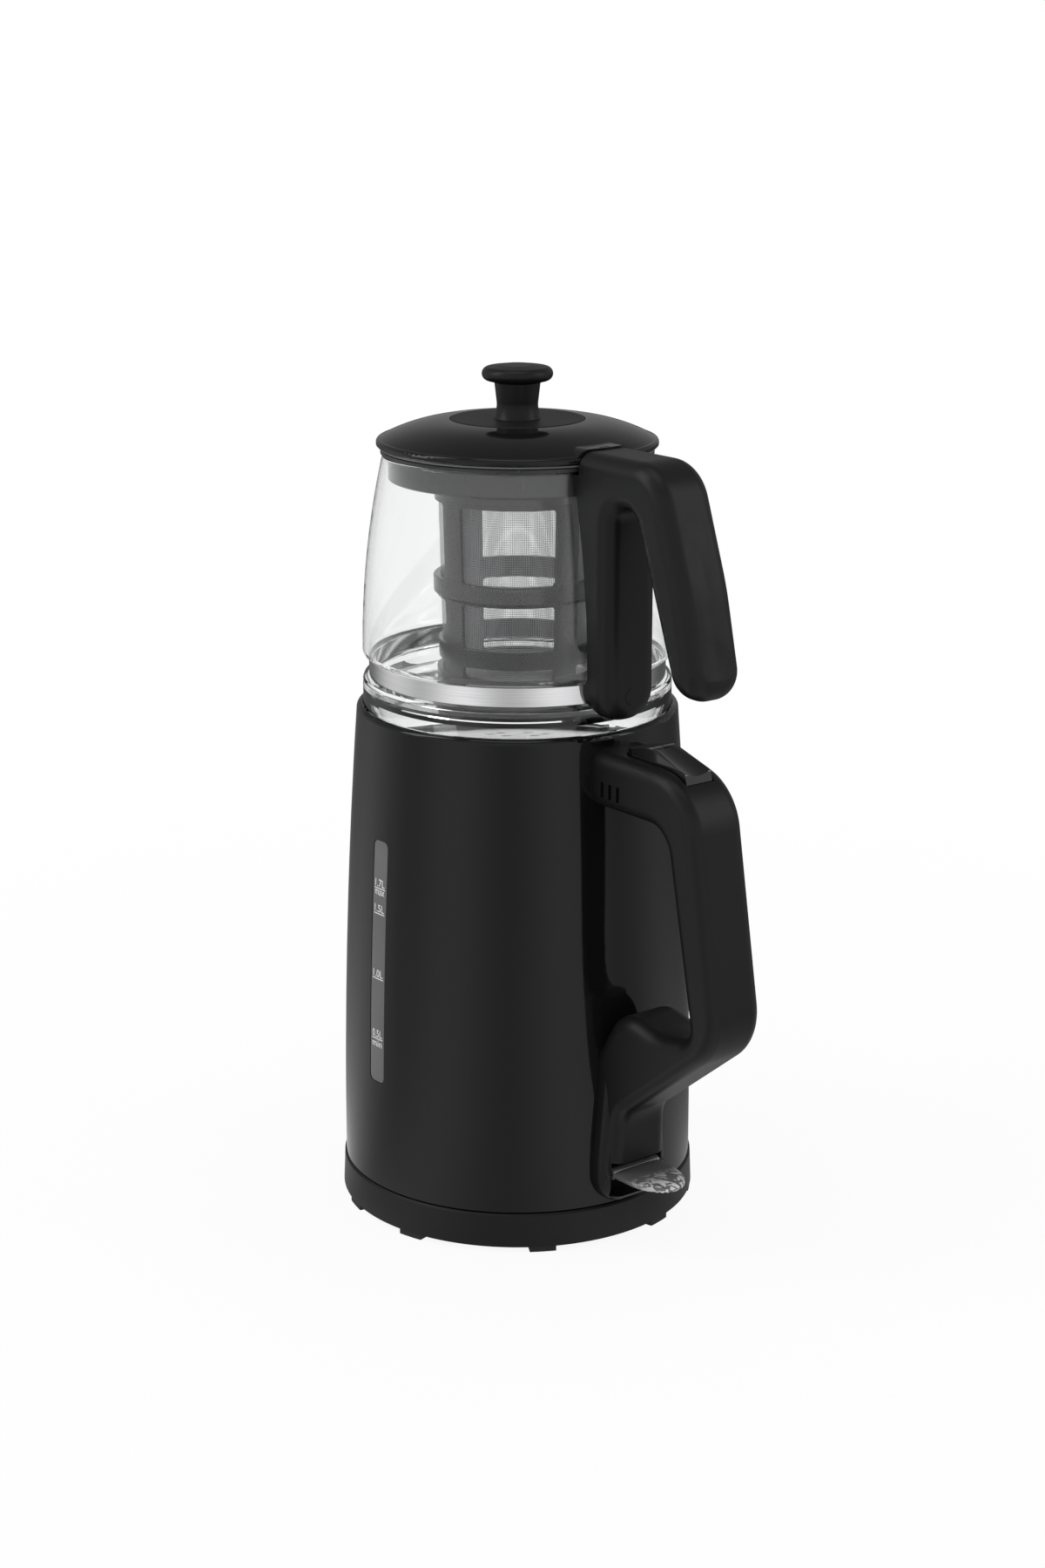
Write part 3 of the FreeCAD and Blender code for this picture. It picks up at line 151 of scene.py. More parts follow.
def makeWipe(look):
    group, given, out = newGroup("wipeMarks", {"Streaks": 0.5, "Blotches": 0.5}, ["Mask"])
    place = putNode(group, "ShaderNodeTexCoord").outputs["Object"]
    squeeze = putNode(group, "ShaderNodeMapping", {"Scale": look["streakScale"],
                                                   "Rotation": look["streakTurn"]})
    group.links.new(place, squeeze.inputs["Vector"])
    streaks = noiseOf(group, squeeze.outputs["Vector"], 1.0, detail=3.0, roughness=0.55)
    streaks = stretch(group, streaks, *look["streakRange"])
    blotches = noiseOf(group, place, look["blotchesPerMetre"], detail=5.0, roughness=0.6)
    blotches = stretch(group, blotches, *look["blotchRange"])
    mask = calc(group, "ADD", calc(group, "MULTIPLY", streaks, given.outputs["Streaks"]),
                calc(group, "MULTIPLY", blotches, given.outputs["Blotches"]), clamp=True)
    group.links.new(mask, out.inputs["Mask"])
    return group


# dust: settles where a face looks up, in specks and a thin veil
dustEffect = {"upwardRange": (0.35, 1.0), "veilPerMetre": 60.0, "specksPerMetre": 1500.0,
              "speckRange": (0.72, 0.78)}


def makeDust(look):
    group, given, out = newGroup("settledDust", {"Veil": 0.2, "Specks": 0.5}, ["Mask"])
    place = putNode(group, "ShaderNodeTexCoord").outputs["Object"]
    facing = putNode(group, "ShaderNodeNewGeometry").outputs["Normal"]
    split = putNode(group, "ShaderNodeSeparateXYZ")
    group.links.new(facing, split.inputs[0])
    upward = stretch(group, split.outputs["Z"], *look["upwardRange"])
    veil = noiseOf(group, place, look["veilPerMetre"], detail=4.0, roughness=0.65)
    veil = calc(group, "MULTIPLY", veil, given.outputs["Veil"])
    specks = stretch(group, noiseOf(group, place, look["specksPerMetre"]), *look["speckRange"])
    specks = calc(group, "MULTIPLY", specks, given.outputs["Specks"])
    mask = calc(group, "MULTIPLY", calc(group, "ADD", veil, specks, clamp=True), upward)
    group.links.new(mask, out.inputs["Mask"])
    return group


# brushed metal: fine lines round the axis, long along x and y and close together in height
brushEffect = {"alongPerMetre": 20.0, "shadeRange": (0.3, 0.7)}


def makeBrush(look):
    group, given, out = newGroup("brushLines", {"Lines per metre": 3000.0}, ["Height", "Shade"])
    place = putNode(group, "ShaderNodeTexCoord").outputs["Object"]
    split = putNode(group, "ShaderNodeSeparateXYZ")
    group.links.new(place, split.inputs[0])
    join = putNode(group, "ShaderNodeCombineXYZ")
    reach = calc(group, "ADD", split.outputs["X"], split.outputs["Y"])
    group.links.new(calc(group, "MULTIPLY", reach, look["alongPerMetre"]), join.inputs["X"])
    rise = calc(group, "MULTIPLY", split.outputs["Z"], given.outputs["Lines per metre"])
    group.links.new(rise, join.inputs["Z"])
    lines = noiseOf(group, join.outputs[0], 1.0, detail=3.0, roughness=0.6)
    group.links.new(lines, out.inputs["Height"])
    group.links.new(stretch(group, lines, *look["shadeRange"]), out.inputs["Shade"])
    return group


# woven wire: ridges that cross, on the wall by angle and height, on the floor by x and y
weaveEffect = {"floorFrom": 0.7, "coverFrom": 0.45}


def makeWeave(look):
    group, given, out = newGroup("wireWeave", {"Radius": 0.033, "Pitch": 0.0008, "Wire share": 0.5},
                                 ["Cover", "Height"])
    place = putNode(group, "ShaderNodeTexCoord").outputs["Object"]
    split = putNode(group, "ShaderNodeSeparateXYZ")
    group.links.new(place, split.inputs[0])
    facing = putNode(group, "ShaderNodeSeparateXYZ")
    group.links.new(putNode(group, "ShaderNodeNewGeometry").outputs["Normal"], facing.inputs[0])
    flat = calc(group, "GREATER_THAN", calc(group, "ABSOLUTE", facing.outputs["Z"]), look["floorFrom"])
    turn = calc(group, "ARCTAN2", split.outputs["Y"], split.outputs["X"])
    around = calc(group, "MULTIPLY", turn, given.outputs["Radius"])

    def pick(onWall, onFloor):
        node = putNode(group, "ShaderNodeMix", data_type="FLOAT")
        group.links.new(flat, node.inputs["Factor"])
        group.links.new(onWall, node.inputs[2])
        group.links.new(onFloor, node.inputs[3])
        return node.outputs[0]

    first = calc(group, "DIVIDE", pick(around, split.outputs["X"]), given.outputs["Pitch"])
    second = calc(group, "DIVIDE", pick(split.outputs["Z"], split.outputs["Y"]), given.outputs["Pitch"])
    ridges = []
    for line in (first, second):
        spread = calc(group, "ABSOLUTE", calc(group, "SUBTRACT", calc(group, "FRACT", line), 0.5))
        spread = calc(group, "DIVIDE", spread, given.outputs["Wire share"])
        ridges.append(calc(group, "SUBTRACT", 1.0, spread))
    top = calc(group, "MAXIMUM", ridges[0], ridges[1])
    group.links.new(calc(group, "GREATER_THAN", top, look["coverFrom"]), out.inputs["Cover"])
    group.links.new(top, out.inputs["Height"])
    return group


grainGroup = makeGrain(grainEffect)
wipeGroup = makeWipe(wipeEffect)
dustGroup = makeDust(dustEffect)
brushGroup = makeBrush(brushEffect)
weaveGroup = makeWeave(weaveEffect)
print("effect groups made")


# a material starts as a shader with its constants set; what varies is linked afterwards
def startMaterial(name, **constants):
    material = bpy.data.materials.new(name)
    material.use_nodes = True
    tree = material.node_tree
    tree.nodes.clear()
    shader = putNode(tree, "ShaderNodeBsdfPrincipled", constants)
    out = putNode(tree, "ShaderNodeOutputMaterial")
    tree.links.new(shader.outputs[0], out.inputs["Surface"])
    return material, tree, shader


def useGroup(tree, group, **inputs):
    node = putNode(tree, "ShaderNodeGroup", node_tree=group)
    for key, value in inputs.items():
        node.inputs[key.replace("_", " ")].default_value = value
    return node


def tint(tree, shader, mask, plain, other):
    node = putNode(tree, "ShaderNodeMix", data_type="RGBA")
    tree.links.new(mask, node.inputs["Factor"])
    node.inputs[6].default_value = (*plain, 1)
    node.inputs[7].default_value = (*other, 1)
    tree.links.new(node.outputs[2], shader.inputs["Base Color"])


def roughen(tree, shader, mask, low, high):
    tree.links.new(stretch(tree, mask, 0.0, 1.0, low, high), shader.inputs["Roughness"])


def wipeOver(tree, shader, look):
    wipe = useGroup(tree, wipeGroup, Streaks=look["streaks"], Blotches=look["blotches"])
    roughen(tree, shader, wipe.outputs["Mask"], *look["rough"])


def raiseBump(tree, shader, height, strength, depth):
    bump = putNode(tree, "ShaderNodeBump", {"Strength": strength, "Distance": depth})
    tree.links.new(height, bump.inputs["Height"])
    tree.links.new(bump.outputs[0], shader.inputs["Normal"])


def grey(level):
    return (level, level, level * 1.02)


# how much dust every black carries, and what share its grain and its wipe marks have in the roughness
blackWear = {"veil": 0.10, "specks": 0.25, "patchShare": 0.4, "wipeShare": 0.6}
# one entry per black moulding or coat: colour, dusted colour, roughness from clean to wiped, grain
blackFinishes = {
    "lacquer": {"colour": 0.0055, "dusted": 0.02, "specular": 0.26, "rough": (0.045, 0.13), "pebbles": 900.0,
                "swell": 0.8, "strength": 0.05, "depth": 0.00003, "streaks": 0.35, "blotches": 0.3},
    "gloss": {"colour": 0.006, "dusted": 0.02, "specular": 0.26, "rough": (0.07, 0.17), "pebbles": 1200.0,
              "swell": 0.6, "strength": 0.06, "depth": 0.00003, "streaks": 0.3, "blotches": 0.35},
    "piano": {"colour": 0.005, "dusted": 0.015, "specular": 0.6, "rough": (0.02, 0.06), "pebbles": 700.0,
              "swell": 0.8, "strength": 0.03, "depth": 0.00002, "streaks": 0.3, "blotches": 0.35},
    "satin": {"colour": 0.007, "dusted": 0.02, "specular": 0.20, "rough": (0.36, 0.46), "pebbles": 2600.0,
              "swell": 0.1, "strength": 0.28, "depth": 0.00004, "streaks": 0.2, "blotches": 0.6},
    "matte": {"colour": 0.008, "dusted": 0.022, "specular": 0.20, "rough": (0.42, 0.56), "pebbles": 3400.0,
              "swell": 0.15, "strength": 0.35, "depth": 0.00004, "streaks": 0.15, "blotches": 0.5},
    "rubber": {"colour": 0.014, "dusted": 0.05, "specular": 0.30, "rough": (0.62, 0.80), "pebbles": 1900.0,
               "swell": 0.3, "strength": 0.5, "depth": 0.00006, "streaks": 0.1, "blotches": 0.7},
}


def blackMaterial(name):
    finish = blackFinishes[name]
    material, tree, shader = startMaterial(name + "Black", **{"Specular IOR Level": finish["specular"]})
    grain = useGroup(tree, grainGroup, Pebbles_per_metre=finish["pebbles"], Swell=finish["swell"])
    wipe = useGroup(tree, wipeGroup, Streaks=finish["streaks"], Blotches=finish["blotches"])
    dust = useGroup(tree, dustGroup, Veil=blackWear["veil"], Specks=blackWear["specks"])
    tint(tree, shader, dust.outputs["Mask"], grey(finish["colour"]), grey(finish["dusted"]))
    marks = calc(tree, "ADD", calc(tree, "MULTIPLY", grain.outputs["Patch"], blackWear["patchShare"]),
                 calc(tree, "MULTIPLY", wipe.outputs["Mask"], blackWear["wipeShare"]), clamp=True)
    roughen(tree, shader, marks, *finish["rough"])
    raiseBump(tree, shader, grain.outputs["Height"], finish["strength"], finish["depth"])
    return material


lacquerBlack = blackMaterial("lacquer")
glossBlack = blackMaterial("gloss")
pianoBlack = blackMaterial("piano")
satinBlack = blackMaterial("satin")
matteBlack = blackMaterial("matte")
rubberBlack = blackMaterial("rubber")


metalWear = {"streaks": 0.3, "blotches": 0.6, "depth": 0.00002}
# metals: colour and its darker lines, roughness from bright to dull, lines per metre and how strong they are
metalFinishes = {
    "polished": {"colour": (0.78, 0.78, 0.79), "shade": (0.66, 0.66, 0.67), "rough": (0.07, 0.16),
                 "lines": 2600.0, "strength": 0.05},
    "plain": {"colour": (0.56, 0.56, 0.57), "shade": (0.44, 0.44, 0.45), "rough": (0.22, 0.38),
              "lines": 1700.0, "strength": 0.2},
    "aluminium": {"colour": (0.68, 0.68, 0.69), "shade": (0.55, 0.55, 0.56), "rough": (0.3, 0.45),
                  "lines": 1100.0, "strength": 0.25},
    "blackened": {"colour": (0.045, 0.045, 0.047), "shade": (0.03, 0.03, 0.032), "rough": (0.35, 0.5),
                  "lines": 1500.0, "strength": 0.2},
    "brass": {"colour": (0.80, 0.58, 0.27), "shade": (0.62, 0.42, 0.18), "rough": (0.2, 0.36),
              "lines": 1900.0, "strength": 0.2},
}


def metalMaterial(name):
    finish = {**metalWear, **metalFinishes[name]}
    material, tree, shader = startMaterial(name + "Metal", Metallic=1.0)
    brush = useGroup(tree, brushGroup, Lines_per_metre=finish["lines"])
    tint(tree, shader, brush.outputs["Shade"], finish["colour"], finish["shade"])
    wipeOver(tree, shader, finish)
    raiseBump(tree, shader, brush.outputs["Height"], finish["strength"], finish["depth"])
    return material


polishedMetal = metalMaterial("polished")
plainMetal = metalMaterial("plain")
blackenedMetal = metalMaterial("blackened")
aluminiumMetal = metalMaterial("aluminium")
brassMetal = metalMaterial("brass")


# the teapot's glass, clear with faint waves
glassLook = {"colour": (0.955, 0.96, 0.96, 1), "ior": 1.47, "through": 1.0, "rough": (0.0, 0.025),
             "streaks": 0.15, "blotches": 0.35, "wavesPerMetre": 40.0, "waveSwell": 1.0,
             "waves": 0.04, "waveDepth": 0.0004}
# the switch's clear paddle, dark in its body, with painted highlights: white swirls in its colour near the tip
# stand in for the light the tip gathers
leverLook = {"ior": 1.49, "through": 0.3, "rough": (0.02, 0.08), "streaks": 0.4, "blotches": 0.6,
             "wavesPerMetre": 160.0, "waveSwell": 0.6, "waves": 0.3, "waveDepth": 0.0008,
             "body": (0.13, 0.13, 0.135), "paintedGlint": (1.0, 1.0, 1.0), "swirlScale": 105.0, "swirlTurn": 3.2,
             "swirlDetail": 1.5, "swirlRange": (0.47, 0.52), "swirlLeast": 0.06,
             "tipStart": 0.019, "tipFull": 0.004}


def clearMaterial(name, look, **constants):
    clear = {"IOR": look["ior"], "Transmission Weight": look["through"]}
    material, tree, shader = startMaterial(name, **clear, **constants)
    wipeOver(tree, shader, look)
    waves = useGroup(tree, grainGroup, Pebbles_per_metre=look["wavesPerMetre"], Swell=look["waveSwell"])
    raiseBump(tree, shader, waves.outputs["Height"], look["waves"], look["waveDepth"])
    return material, tree, shader


# paints white highlight swirls into the paddle's colour towards its tip: painted highlights, not lit ones
def paintTipHighlights(tree, shader, look):
    spot = putNode(tree, "ShaderNodeTexCoord").outputs["Object"]
    parts = putNode(tree, "ShaderNodeSeparateXYZ")
    tree.links.new(spot, parts.inputs[0])
    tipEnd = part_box("switch_lever")[1].x
    nearTip = stretch(tree, parts.outputs["X"], tipEnd - look["tipStart"], tipEnd - look["tipFull"])
    paintedGlint = putNode(tree, "ShaderNodeTexNoise", {"Scale": look["swirlScale"], "Detail": look["swirlDetail"],
                                                 "Distortion": look["swirlTurn"]})
    tree.links.new(spot, paintedGlint.inputs["Vector"])
    bright = stretch(tree, paintedGlint.outputs["Fac"], *look["swirlRange"], look["swirlLeast"], 1.0)
    tint(tree, shader, calc(tree, "MULTIPLY", bright, nearTip), look["body"], look["paintedGlint"])


clearGlass = clearMaterial("clearGlass", glassLook, **{"Base Color": glassLook["colour"]})[0]
clearPlastic, tree, shader = clearMaterial("clearPlastic", leverLook)
# the paddle's tip gets painted white highlights in its colour
paintTipHighlights(tree, shader, leverLook)

# grey plastics that let a little light through: the level window, and the infuser's smoked collar and cage
windowLook = {"colour": 0.135, "shade": 0.105, "rough": (0.16, 0.30), "streaks": 0.5, "blotches": 0.4,
              "pebbles": 1500.0, "swell": 0.6, "patches": 30.0, "strength": 0.08, "depth": 0.00003,
              "through": 0.12, "ior": 1.5}
smokeLook = {"colour": 0.030, "shade": 0.023, "rough": (0.22, 0.34), "streaks": 0.3, "blotches": 0.6,
             "pebbles": 1400.0, "swell": 0.5, "patches": 22.0, "strength": 0.1, "depth": 0.00004,
             "specular": 0.45, "cover": 0.97}


def mistyMaterial(name, look, **constants):
    material, tree, shader = startMaterial(name, **constants)
    grain = useGroup(tree, grainGroup, Pebbles_per_metre=look["pebbles"], Swell=look["swell"],
                     Patch_per_metre=look["patches"])
    tint(tree, shader, grain.outputs["Patch"], grey(look["colour"]), grey(look["shade"]))
    wipeOver(tree, shader, look)
    raiseBump(tree, shader, grain.outputs["Height"], look["strength"], look["depth"])
    return material


windowPlastic = mistyMaterial("windowPlastic", windowLook,
                              **{"Transmission Weight": windowLook["through"], "IOR": windowLook["ior"]})
smokedPlastic = mistyMaterial("smokedPlastic", smokeLook,
                              **{"Specular IOR Level": smokeLook["specular"], "Alpha": smokeLook["cover"]})

# the infuser's woven steel, see-through between its wires
weaveLook = {"pitch": 0.0008, "wire": 0.125, "colour": (0.36, 0.36, 0.37), "dark": (0.26, 0.26, 0.27),
             "metallic": 0.6, "rough": 0.42, "streaks": 0.3, "blotches": 0.7,
             "strength": 0.6, "depth": 0.00012}
wovenSteel, tree, shader = startMaterial("wovenSteel", Metallic=weaveLook["metallic"],
                                         Roughness=weaveLook["rough"])
weave = useGroup(tree, weaveGroup, Pitch=weaveLook["pitch"], Wire_share=weaveLook["wire"])
wipe = useGroup(tree, wipeGroup, Streaks=weaveLook["streaks"], Blotches=weaveLook["blotches"])
tint(tree, shader, wipe.outputs["Mask"], weaveLook["colour"], weaveLook["dark"])
tree.links.new(weave.outputs["Cover"], shader.inputs["Alpha"])
raiseBump(tree, shader, weave.outputs["Height"], weaveLook["strength"], weaveLook["depth"])

# soft grey seals
sealLook = {"specular": 0.4, "soft": 0.1, "pebbles": 1500.0, "swell": 0.4, "veil": 0.2, "specks": 0.6,
            "colour": (0.20, 0.20, 0.21), "dusted": (0.32, 0.31, 0.30), "rough": (0.5, 0.66),
            "strength": 0.3, "depth": 0.00005}
rubberGrey, tree, shader = startMaterial("siliconeGrey", **{"Specular IOR Level": sealLook["specular"],
                                                            "Subsurface Weight": sealLook["soft"]})
grain = useGroup(tree, grainGroup, Pebbles_per_metre=sealLook["pebbles"], Swell=sealLook["swell"])
dust = useGroup(tree, dustGroup, Veil=sealLook["veil"], Specks=sealLook["specks"])
tint(tree, shader, dust.outputs["Mask"], sealLook["colour"], sealLook["dusted"])
roughen(tree, shader, grain.outputs["Patch"], *sealLook["rough"])
raiseBump(tree, shader, grain.outputs["Height"], sealLook["strength"], sealLook["depth"])

# white ink, a little thin in patches
inkLook = {"specular": 0.4, "pebbles": 5000.0, "swell": 0.5, "patches": 900.0, "colour": (0.86, 0.86, 0.86),
           "thin": (0.74, 0.74, 0.75), "rough": (0.4, 0.55)}
whitePrint, tree, shader = startMaterial("whitePrint", **{"Specular IOR Level": inkLook["specular"]})
grain = useGroup(tree, grainGroup, Pebbles_per_metre=inkLook["pebbles"], Swell=inkLook["swell"],
                 Patch_per_metre=inkLook["patches"])
tint(tree, shader, grain.outputs["Patch"], inkLook["colour"], inkLook["thin"])
roughen(tree, shader, grain.outputs["Patch"], *inkLook["rough"])
print("materials made")


# which CAD node wears which finish
finishes = {
    lacquerBlack: ["kettle_body"],
    glossBlack: ["mouth_collar", "pot_lid_dome", "kettle_lid_plate"],
    pianoBlack: ["lid_button"],
    satinBlack: ["handle_outer_shell", "handle_inner_shell", "pot_handle_outer", "pot_handle_inner",
                 "screw_cap", "pot_lid_knob"],
    matteBlack: ["base_housing", "base_plate", "power_connector", "underside_cover",
                 "thermostat_control", "pot_lid_disc"],
    rubberBlack: ["base_feet", "cord_gland"],
    polishedMetal: ["steel_band", "kettle_lid_liner"],
    plainMetal: ["base_screws", "cover_screws", "handle_studs", "lid_hinge_pin",
                 "button_spring", "band_screw", "knob_screw", "bimetal_disc", "heater_plate"],
    blackenedMetal: ["button_pivot_pin", "lever_pivot_pin"],
    aluminiumMetal: ["heating_element"],
    brassMetal: ["hub_contacts"],
    clearGlass: ["teapot_glass"],
    clearPlastic: ["switch_lever"],
    windowPlastic: ["level_window"],
    smokedPlastic: ["infuser_collar", "infuser_upper_cage", "infuser_lower_cage"],
    wovenSteel: ["infuser_mesh"],
    rubberGrey: ["window_gasket", "kettle_lid_seal", "pot_lid_seal"],
}
for material, wearers in finishes.items():
    for wearer in wearers:
        for slot in nodes[wearer].material_slots:
            slot.material = material
bare = sorted(set(nodes) - {name for wearers in finishes.values() for name in wearers})
print("finishes given, left out:", bare)


def skinOf(node):
    mesh = nodes[node].data
    return BVHTree.FromPolygons([v.co for v in mesh.vertices], [p.vertices for p in mesh.polygons])


def addPiece(name, mesh, material, body, smooth=False):
    piece = bpy.data.objects.new(name, mesh)
    bpy.context.scene.collection.objects.link(piece)
    mesh.materials.clear()
    mesh.materials.append(material)
    for face in mesh.polygons:
        face.use_smooth = smooth
    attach(piece, body)
    return piece


def sharpenEdges(mesh, degrees=30):
    solid = bmesh.new()
    solid.from_mesh(mesh)
    bmesh.ops.recalc_face_normals(solid, faces=solid.faces)
    for face in solid.faces:
        face.smooth = True
    for edge in solid.edges:
        edge.smooth = edge.calc_face_angle(0.0) < math.radians(degrees)
    solid.to_mesh(mesh)
    solid.free()


def turnedMesh(name, outline, steps):
    # closed outline of (radius, height) pairs in mm, turned round the axis
    solid = bmesh.new()
    rings = []
    for i in range(steps):
        turn = 2 * math.pi * i / steps
        rings.append([solid.verts.new((r * mm * math.cos(turn), r * mm * math.sin(turn), z * mm))
                      for r, z in outline])
    for i in range(steps):
        here, there = rings[i], rings[(i + 1) % steps]
        for j in range(len(outline)):
            k = (j + 1) % len(outline)
            solid.faces.new((here[j], there[j], there[k], here[k]))
    mesh = bpy.data.meshes.new(name)
    solid.to_mesh(mesh)
    solid.free()
    return mesh


def softenCorners(piece, width, segments=2, degrees=40):
    bevel = piece.modifiers.new("softCorners", "BEVEL")
    bevel.width = width * mm
    bevel.segments = segments
    bevel.limit_method = "ANGLE"
    bevel.angle_limit = math.radians(degrees)
    bevel.harden_normals = True


# the infuser as its moulder made it: a slim collar, a windowed cage with a proud ring, woven wire behind it
# millimetres and degrees, with heights above the table and reaches out from the axis
infuserLook = {
    "wall": 1.6, "round": 0.28, "steps": 144, "flange": 1.7, "flangeSeat": 2.0, "flangeEdge": 0.3,
    "collarDrop": 10.9, "collarInset": 3.5, "collarEdge": 0.6,
    "shoulderDrop": 3.2, "shoulderOut": 2.6, "shoulderEase": 0.9, "joint": 320.6,
    "cageTop": 35.9, "cageLow": 34.0, "ringLow": 277.2, "ringHigh": 286.7, "ringOut": 1.5, "ringSlope": 1.5,
    "foot": 240.2, "footStep": 246.2, "footOut": 1.0, "footSlope": 1.0,
    "slotLow": 244.8, "slotHigh": 249.6, "windowLow": 257.6, "windowHigh": 318.6, "ringClear": 0.5,
    "corner": 1.1, "windowAngle": 70.5, "windows": 4, "angleStep": 2.35,
    "meshGap": 0.05, "meshThickness": 0.2, "meshDrop": 0.4, "floor": 243.6, "floorHole": 0.02,
}


def cageReach(z, look):
    share = (z - look["foot"]) / (look["joint"] - look["foot"])
    reach = look["cageLow"] + (look["cageTop"] - look["cageLow"]) * share
    slope = min(1.0, max(0.0, min(z - look["ringLow"], look["ringHigh"] - z) / look["ringSlope"]))
    flare = min(1.0, max(0.0, (look["footStep"] - z) / look["footSlope"]))
    return reach + look["ringOut"] * slope + look["footOut"] * flare


def plainReach(z, look):
    share = (z - look["foot"]) / (look["joint"] - look["foot"])
    return look["cageLow"] + (look["cageTop"] - look["cageLow"]) * share - look["wall"]


def latticeShell(name, around, along, cellLoop, place):
    # two sheets over one lattice that closes on itself, with a wall round every opening
    solid = bmesh.new()
    corners = {}

    def at(side, i, j):
        key = (side, i % around, j)
        if key not in corners:
            corners[key] = solid.verts.new(place(*key))
        return corners[key]

    rims = set()
    for i in range(around):
        for j in range(along):
            loop = cellLoop(i, j)
            if not loop:
                continue
            solid.faces.new([at(1, *c) for c in loop])
            solid.faces.new([at(0, *c) for c in reversed(loop)])
            for a, b in zip(loop, loop[1:] + loop[:1]):
                a, b = (a[0] % around, a[1]), (b[0] % around, b[1])
                if (b, a) in rims:
                    rims.remove((b, a))
                else:
                    rims.add((a, b))
    for a, b in sorted(rims):
        solid.faces.new((at(1, *b), at(1, *a), at(0, *a), at(0, *b)))
    mesh = bpy.data.meshes.new(name)
    solid.to_mesh(mesh)
    solid.free()
    sharpenEdges(mesh)
    return mesh


def makeCage(look):
    # angles and levels run exactly along every window's edges
    corner = math.degrees(look["corner"] / look["cageTop"])
    pitch = 360.0 / look["windows"]
    clear, post = look["windowAngle"] - 2 * corner, pitch - look["windowAngle"]
    clearCount, postCount = round(clear / look["angleStep"]), round(post / look["angleStep"])
    angles, inWindow = [], []
    for k in range(look["windows"]):
        start = pitch * (k + 0.5) - look["windowAngle"] / 2
        stops = [start, start + corner]
        stops += [start + corner + clear * i / clearCount for i in range(1, clearCount + 1)]
        stops.append(start + look["windowAngle"])
        angles += stops + [stops[-1] + post * i / postCount for i in range(1, postCount)]
        inWindow += ["left"] + ["middle"] * clearCount + ["right"] + ["post"] * postCount
    spans = ((look["slotLow"], look["slotHigh"]), (look["windowLow"], look["ringLow"] - look["ringClear"]),
             (look["ringHigh"] - look["ringSlope"] / 2, look["windowHigh"]))
    levels = {look["foot"], look["footStep"] - look["footSlope"], look["footStep"], look["joint"],
              look["ringLow"], look["ringLow"] + look["ringSlope"],
              look["ringHigh"] - look["ringSlope"], look["ringHigh"]}
    for low, high in spans:
        levels |= {low, low + look["corner"], high - look["corner"], high}
    levels = sorted(levels)

    def cellLoop(i, j):
        middle = (levels[j] + levels[j + 1]) / 2
        corners = [(i, j), (i + 1, j), (i + 1, j + 1), (i, j + 1)]
        for low, high in spans:
            if not low < middle < high or inWindow[i] == "post":
                continue
            if inWindow[i] == "middle" or low + look["corner"] < middle < high - look["corner"]:
                return []
            right, upper = inWindow[i] == "right", middle > high - look["corner"]
            inner = (i if right else i + 1, j if upper else j + 1)
            return [c for c in corners if c != inner]
        return corners

    def place(side, i, j):
        turn = math.radians(angles[i])
        reach = (cageReach if side else plainReach)(levels[j], look) * mm
        return Vector((reach * math.cos(turn), reach * math.sin(turn), levels[j] * mm))

    return latticeShell("infuserCage", len(angles), len(levels) - 1, cellLoop, place)


def collarOutline(look):
    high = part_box("infuser_collar")[1]
    flangeTop, flangeReach = high.z / mm, high.x / mm
    flangeLow = flangeTop - look["flange"]
    reach = flangeReach - look["collarInset"]
    bottom = flangeTop - look["flangeSeat"] - look["collarDrop"]
    shoulder = bottom - look["shoulderDrop"]
    wall, top, joint = look["wall"], look["cageTop"], look["joint"]
    trim, edge, ease = look["flangeEdge"], look["collarEdge"], look["shoulderEase"]
    out = top + look["shoulderOut"]
    return [(reach - wall, flangeTop), (flangeReach - trim, flangeTop), (flangeReach, flangeTop - trim),
            (flangeReach, flangeLow), (reach, flangeLow), (reach, bottom + edge), (reach - edge, bottom),
            (out, shoulder + ease), (top + ease, shoulder - edge), (top, joint),
            (top - wall, joint), (top - wall + ease, shoulder + edge),
            (out - edge, shoulder + wall + ease), (reach - wall, bottom + wall)]


def meshOutline(look):
    gap, thick, hole = look["meshGap"], look["meshThickness"], look["floorHole"]
    low, high = look["floor"], look["joint"] - look["meshDrop"]
    lowReach, highReach = plainReach(low, look) - gap, plainReach(high, look) - gap
    return [(hole, low), (lowReach, low), (highReach, high), (highReach - thick, high),
            (lowReach - thick, low + thick), (hole, low + thick)]


def makeInfuser(look):
    collarMesh = turnedMesh("infuserCollar", collarOutline(look), look["steps"])
    sharpenEdges(collarMesh)
    collar = addPiece("infuserCollar", collarMesh, smokedPlastic, "infuser", smooth=True)
    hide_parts("infuser_collar")
    cage = addPiece("infuserCage", makeCage(look), smokedPlastic, "infuser", smooth=True)
    softenCorners(cage, look["round"])
    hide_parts("infuser_upper_cage", "infuser_lower_cage")
    weaveMesh = turnedMesh("infuserWeave", meshOutline(look), look["steps"])
    sharpenEdges(weaveMesh)
    weave = addPiece("infuserWeave", weaveMesh, wovenSteel, "infuser", smooth=True)
    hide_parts("infuser_mesh")


makeInfuser(infuserLook)
print("infuser made")


# the release button's moulded corners catch the light
buttonLook = {"corner": 0.7, "segments": 3}
softenCorners(nodes["lid_button"], buttonLook["corner"], buttonLook["segments"])


# the switch's clear paddle: a slab with a full round rim, rippled under its tip, on a hub round the pivot pin
paddleLook = {"shorter": 1.9, "topDrop": 1.0, "nose": 19.5, "noseRound": 2.0, "thickness": 3.4,
              "roundness": 4.5, "rippleDepth": 0.42, "rippleLength": 2.1, "rippleReach": 10.0,
              "rippleCentre": 2.0, "rippleSquash": 0.7, "rippleOnset": 3, "start": 1.5, "hub": 2.6, "bore": 1.35,
              "along": 64, "across": 40, "hubSteps": 36, "leastWidth": 0.01, "weld": 0.004, "sharpFrom": 50}


def pillShare(position, power):
    return max(0.0, 1.0 - abs(position) ** power) ** (1.0 / power)


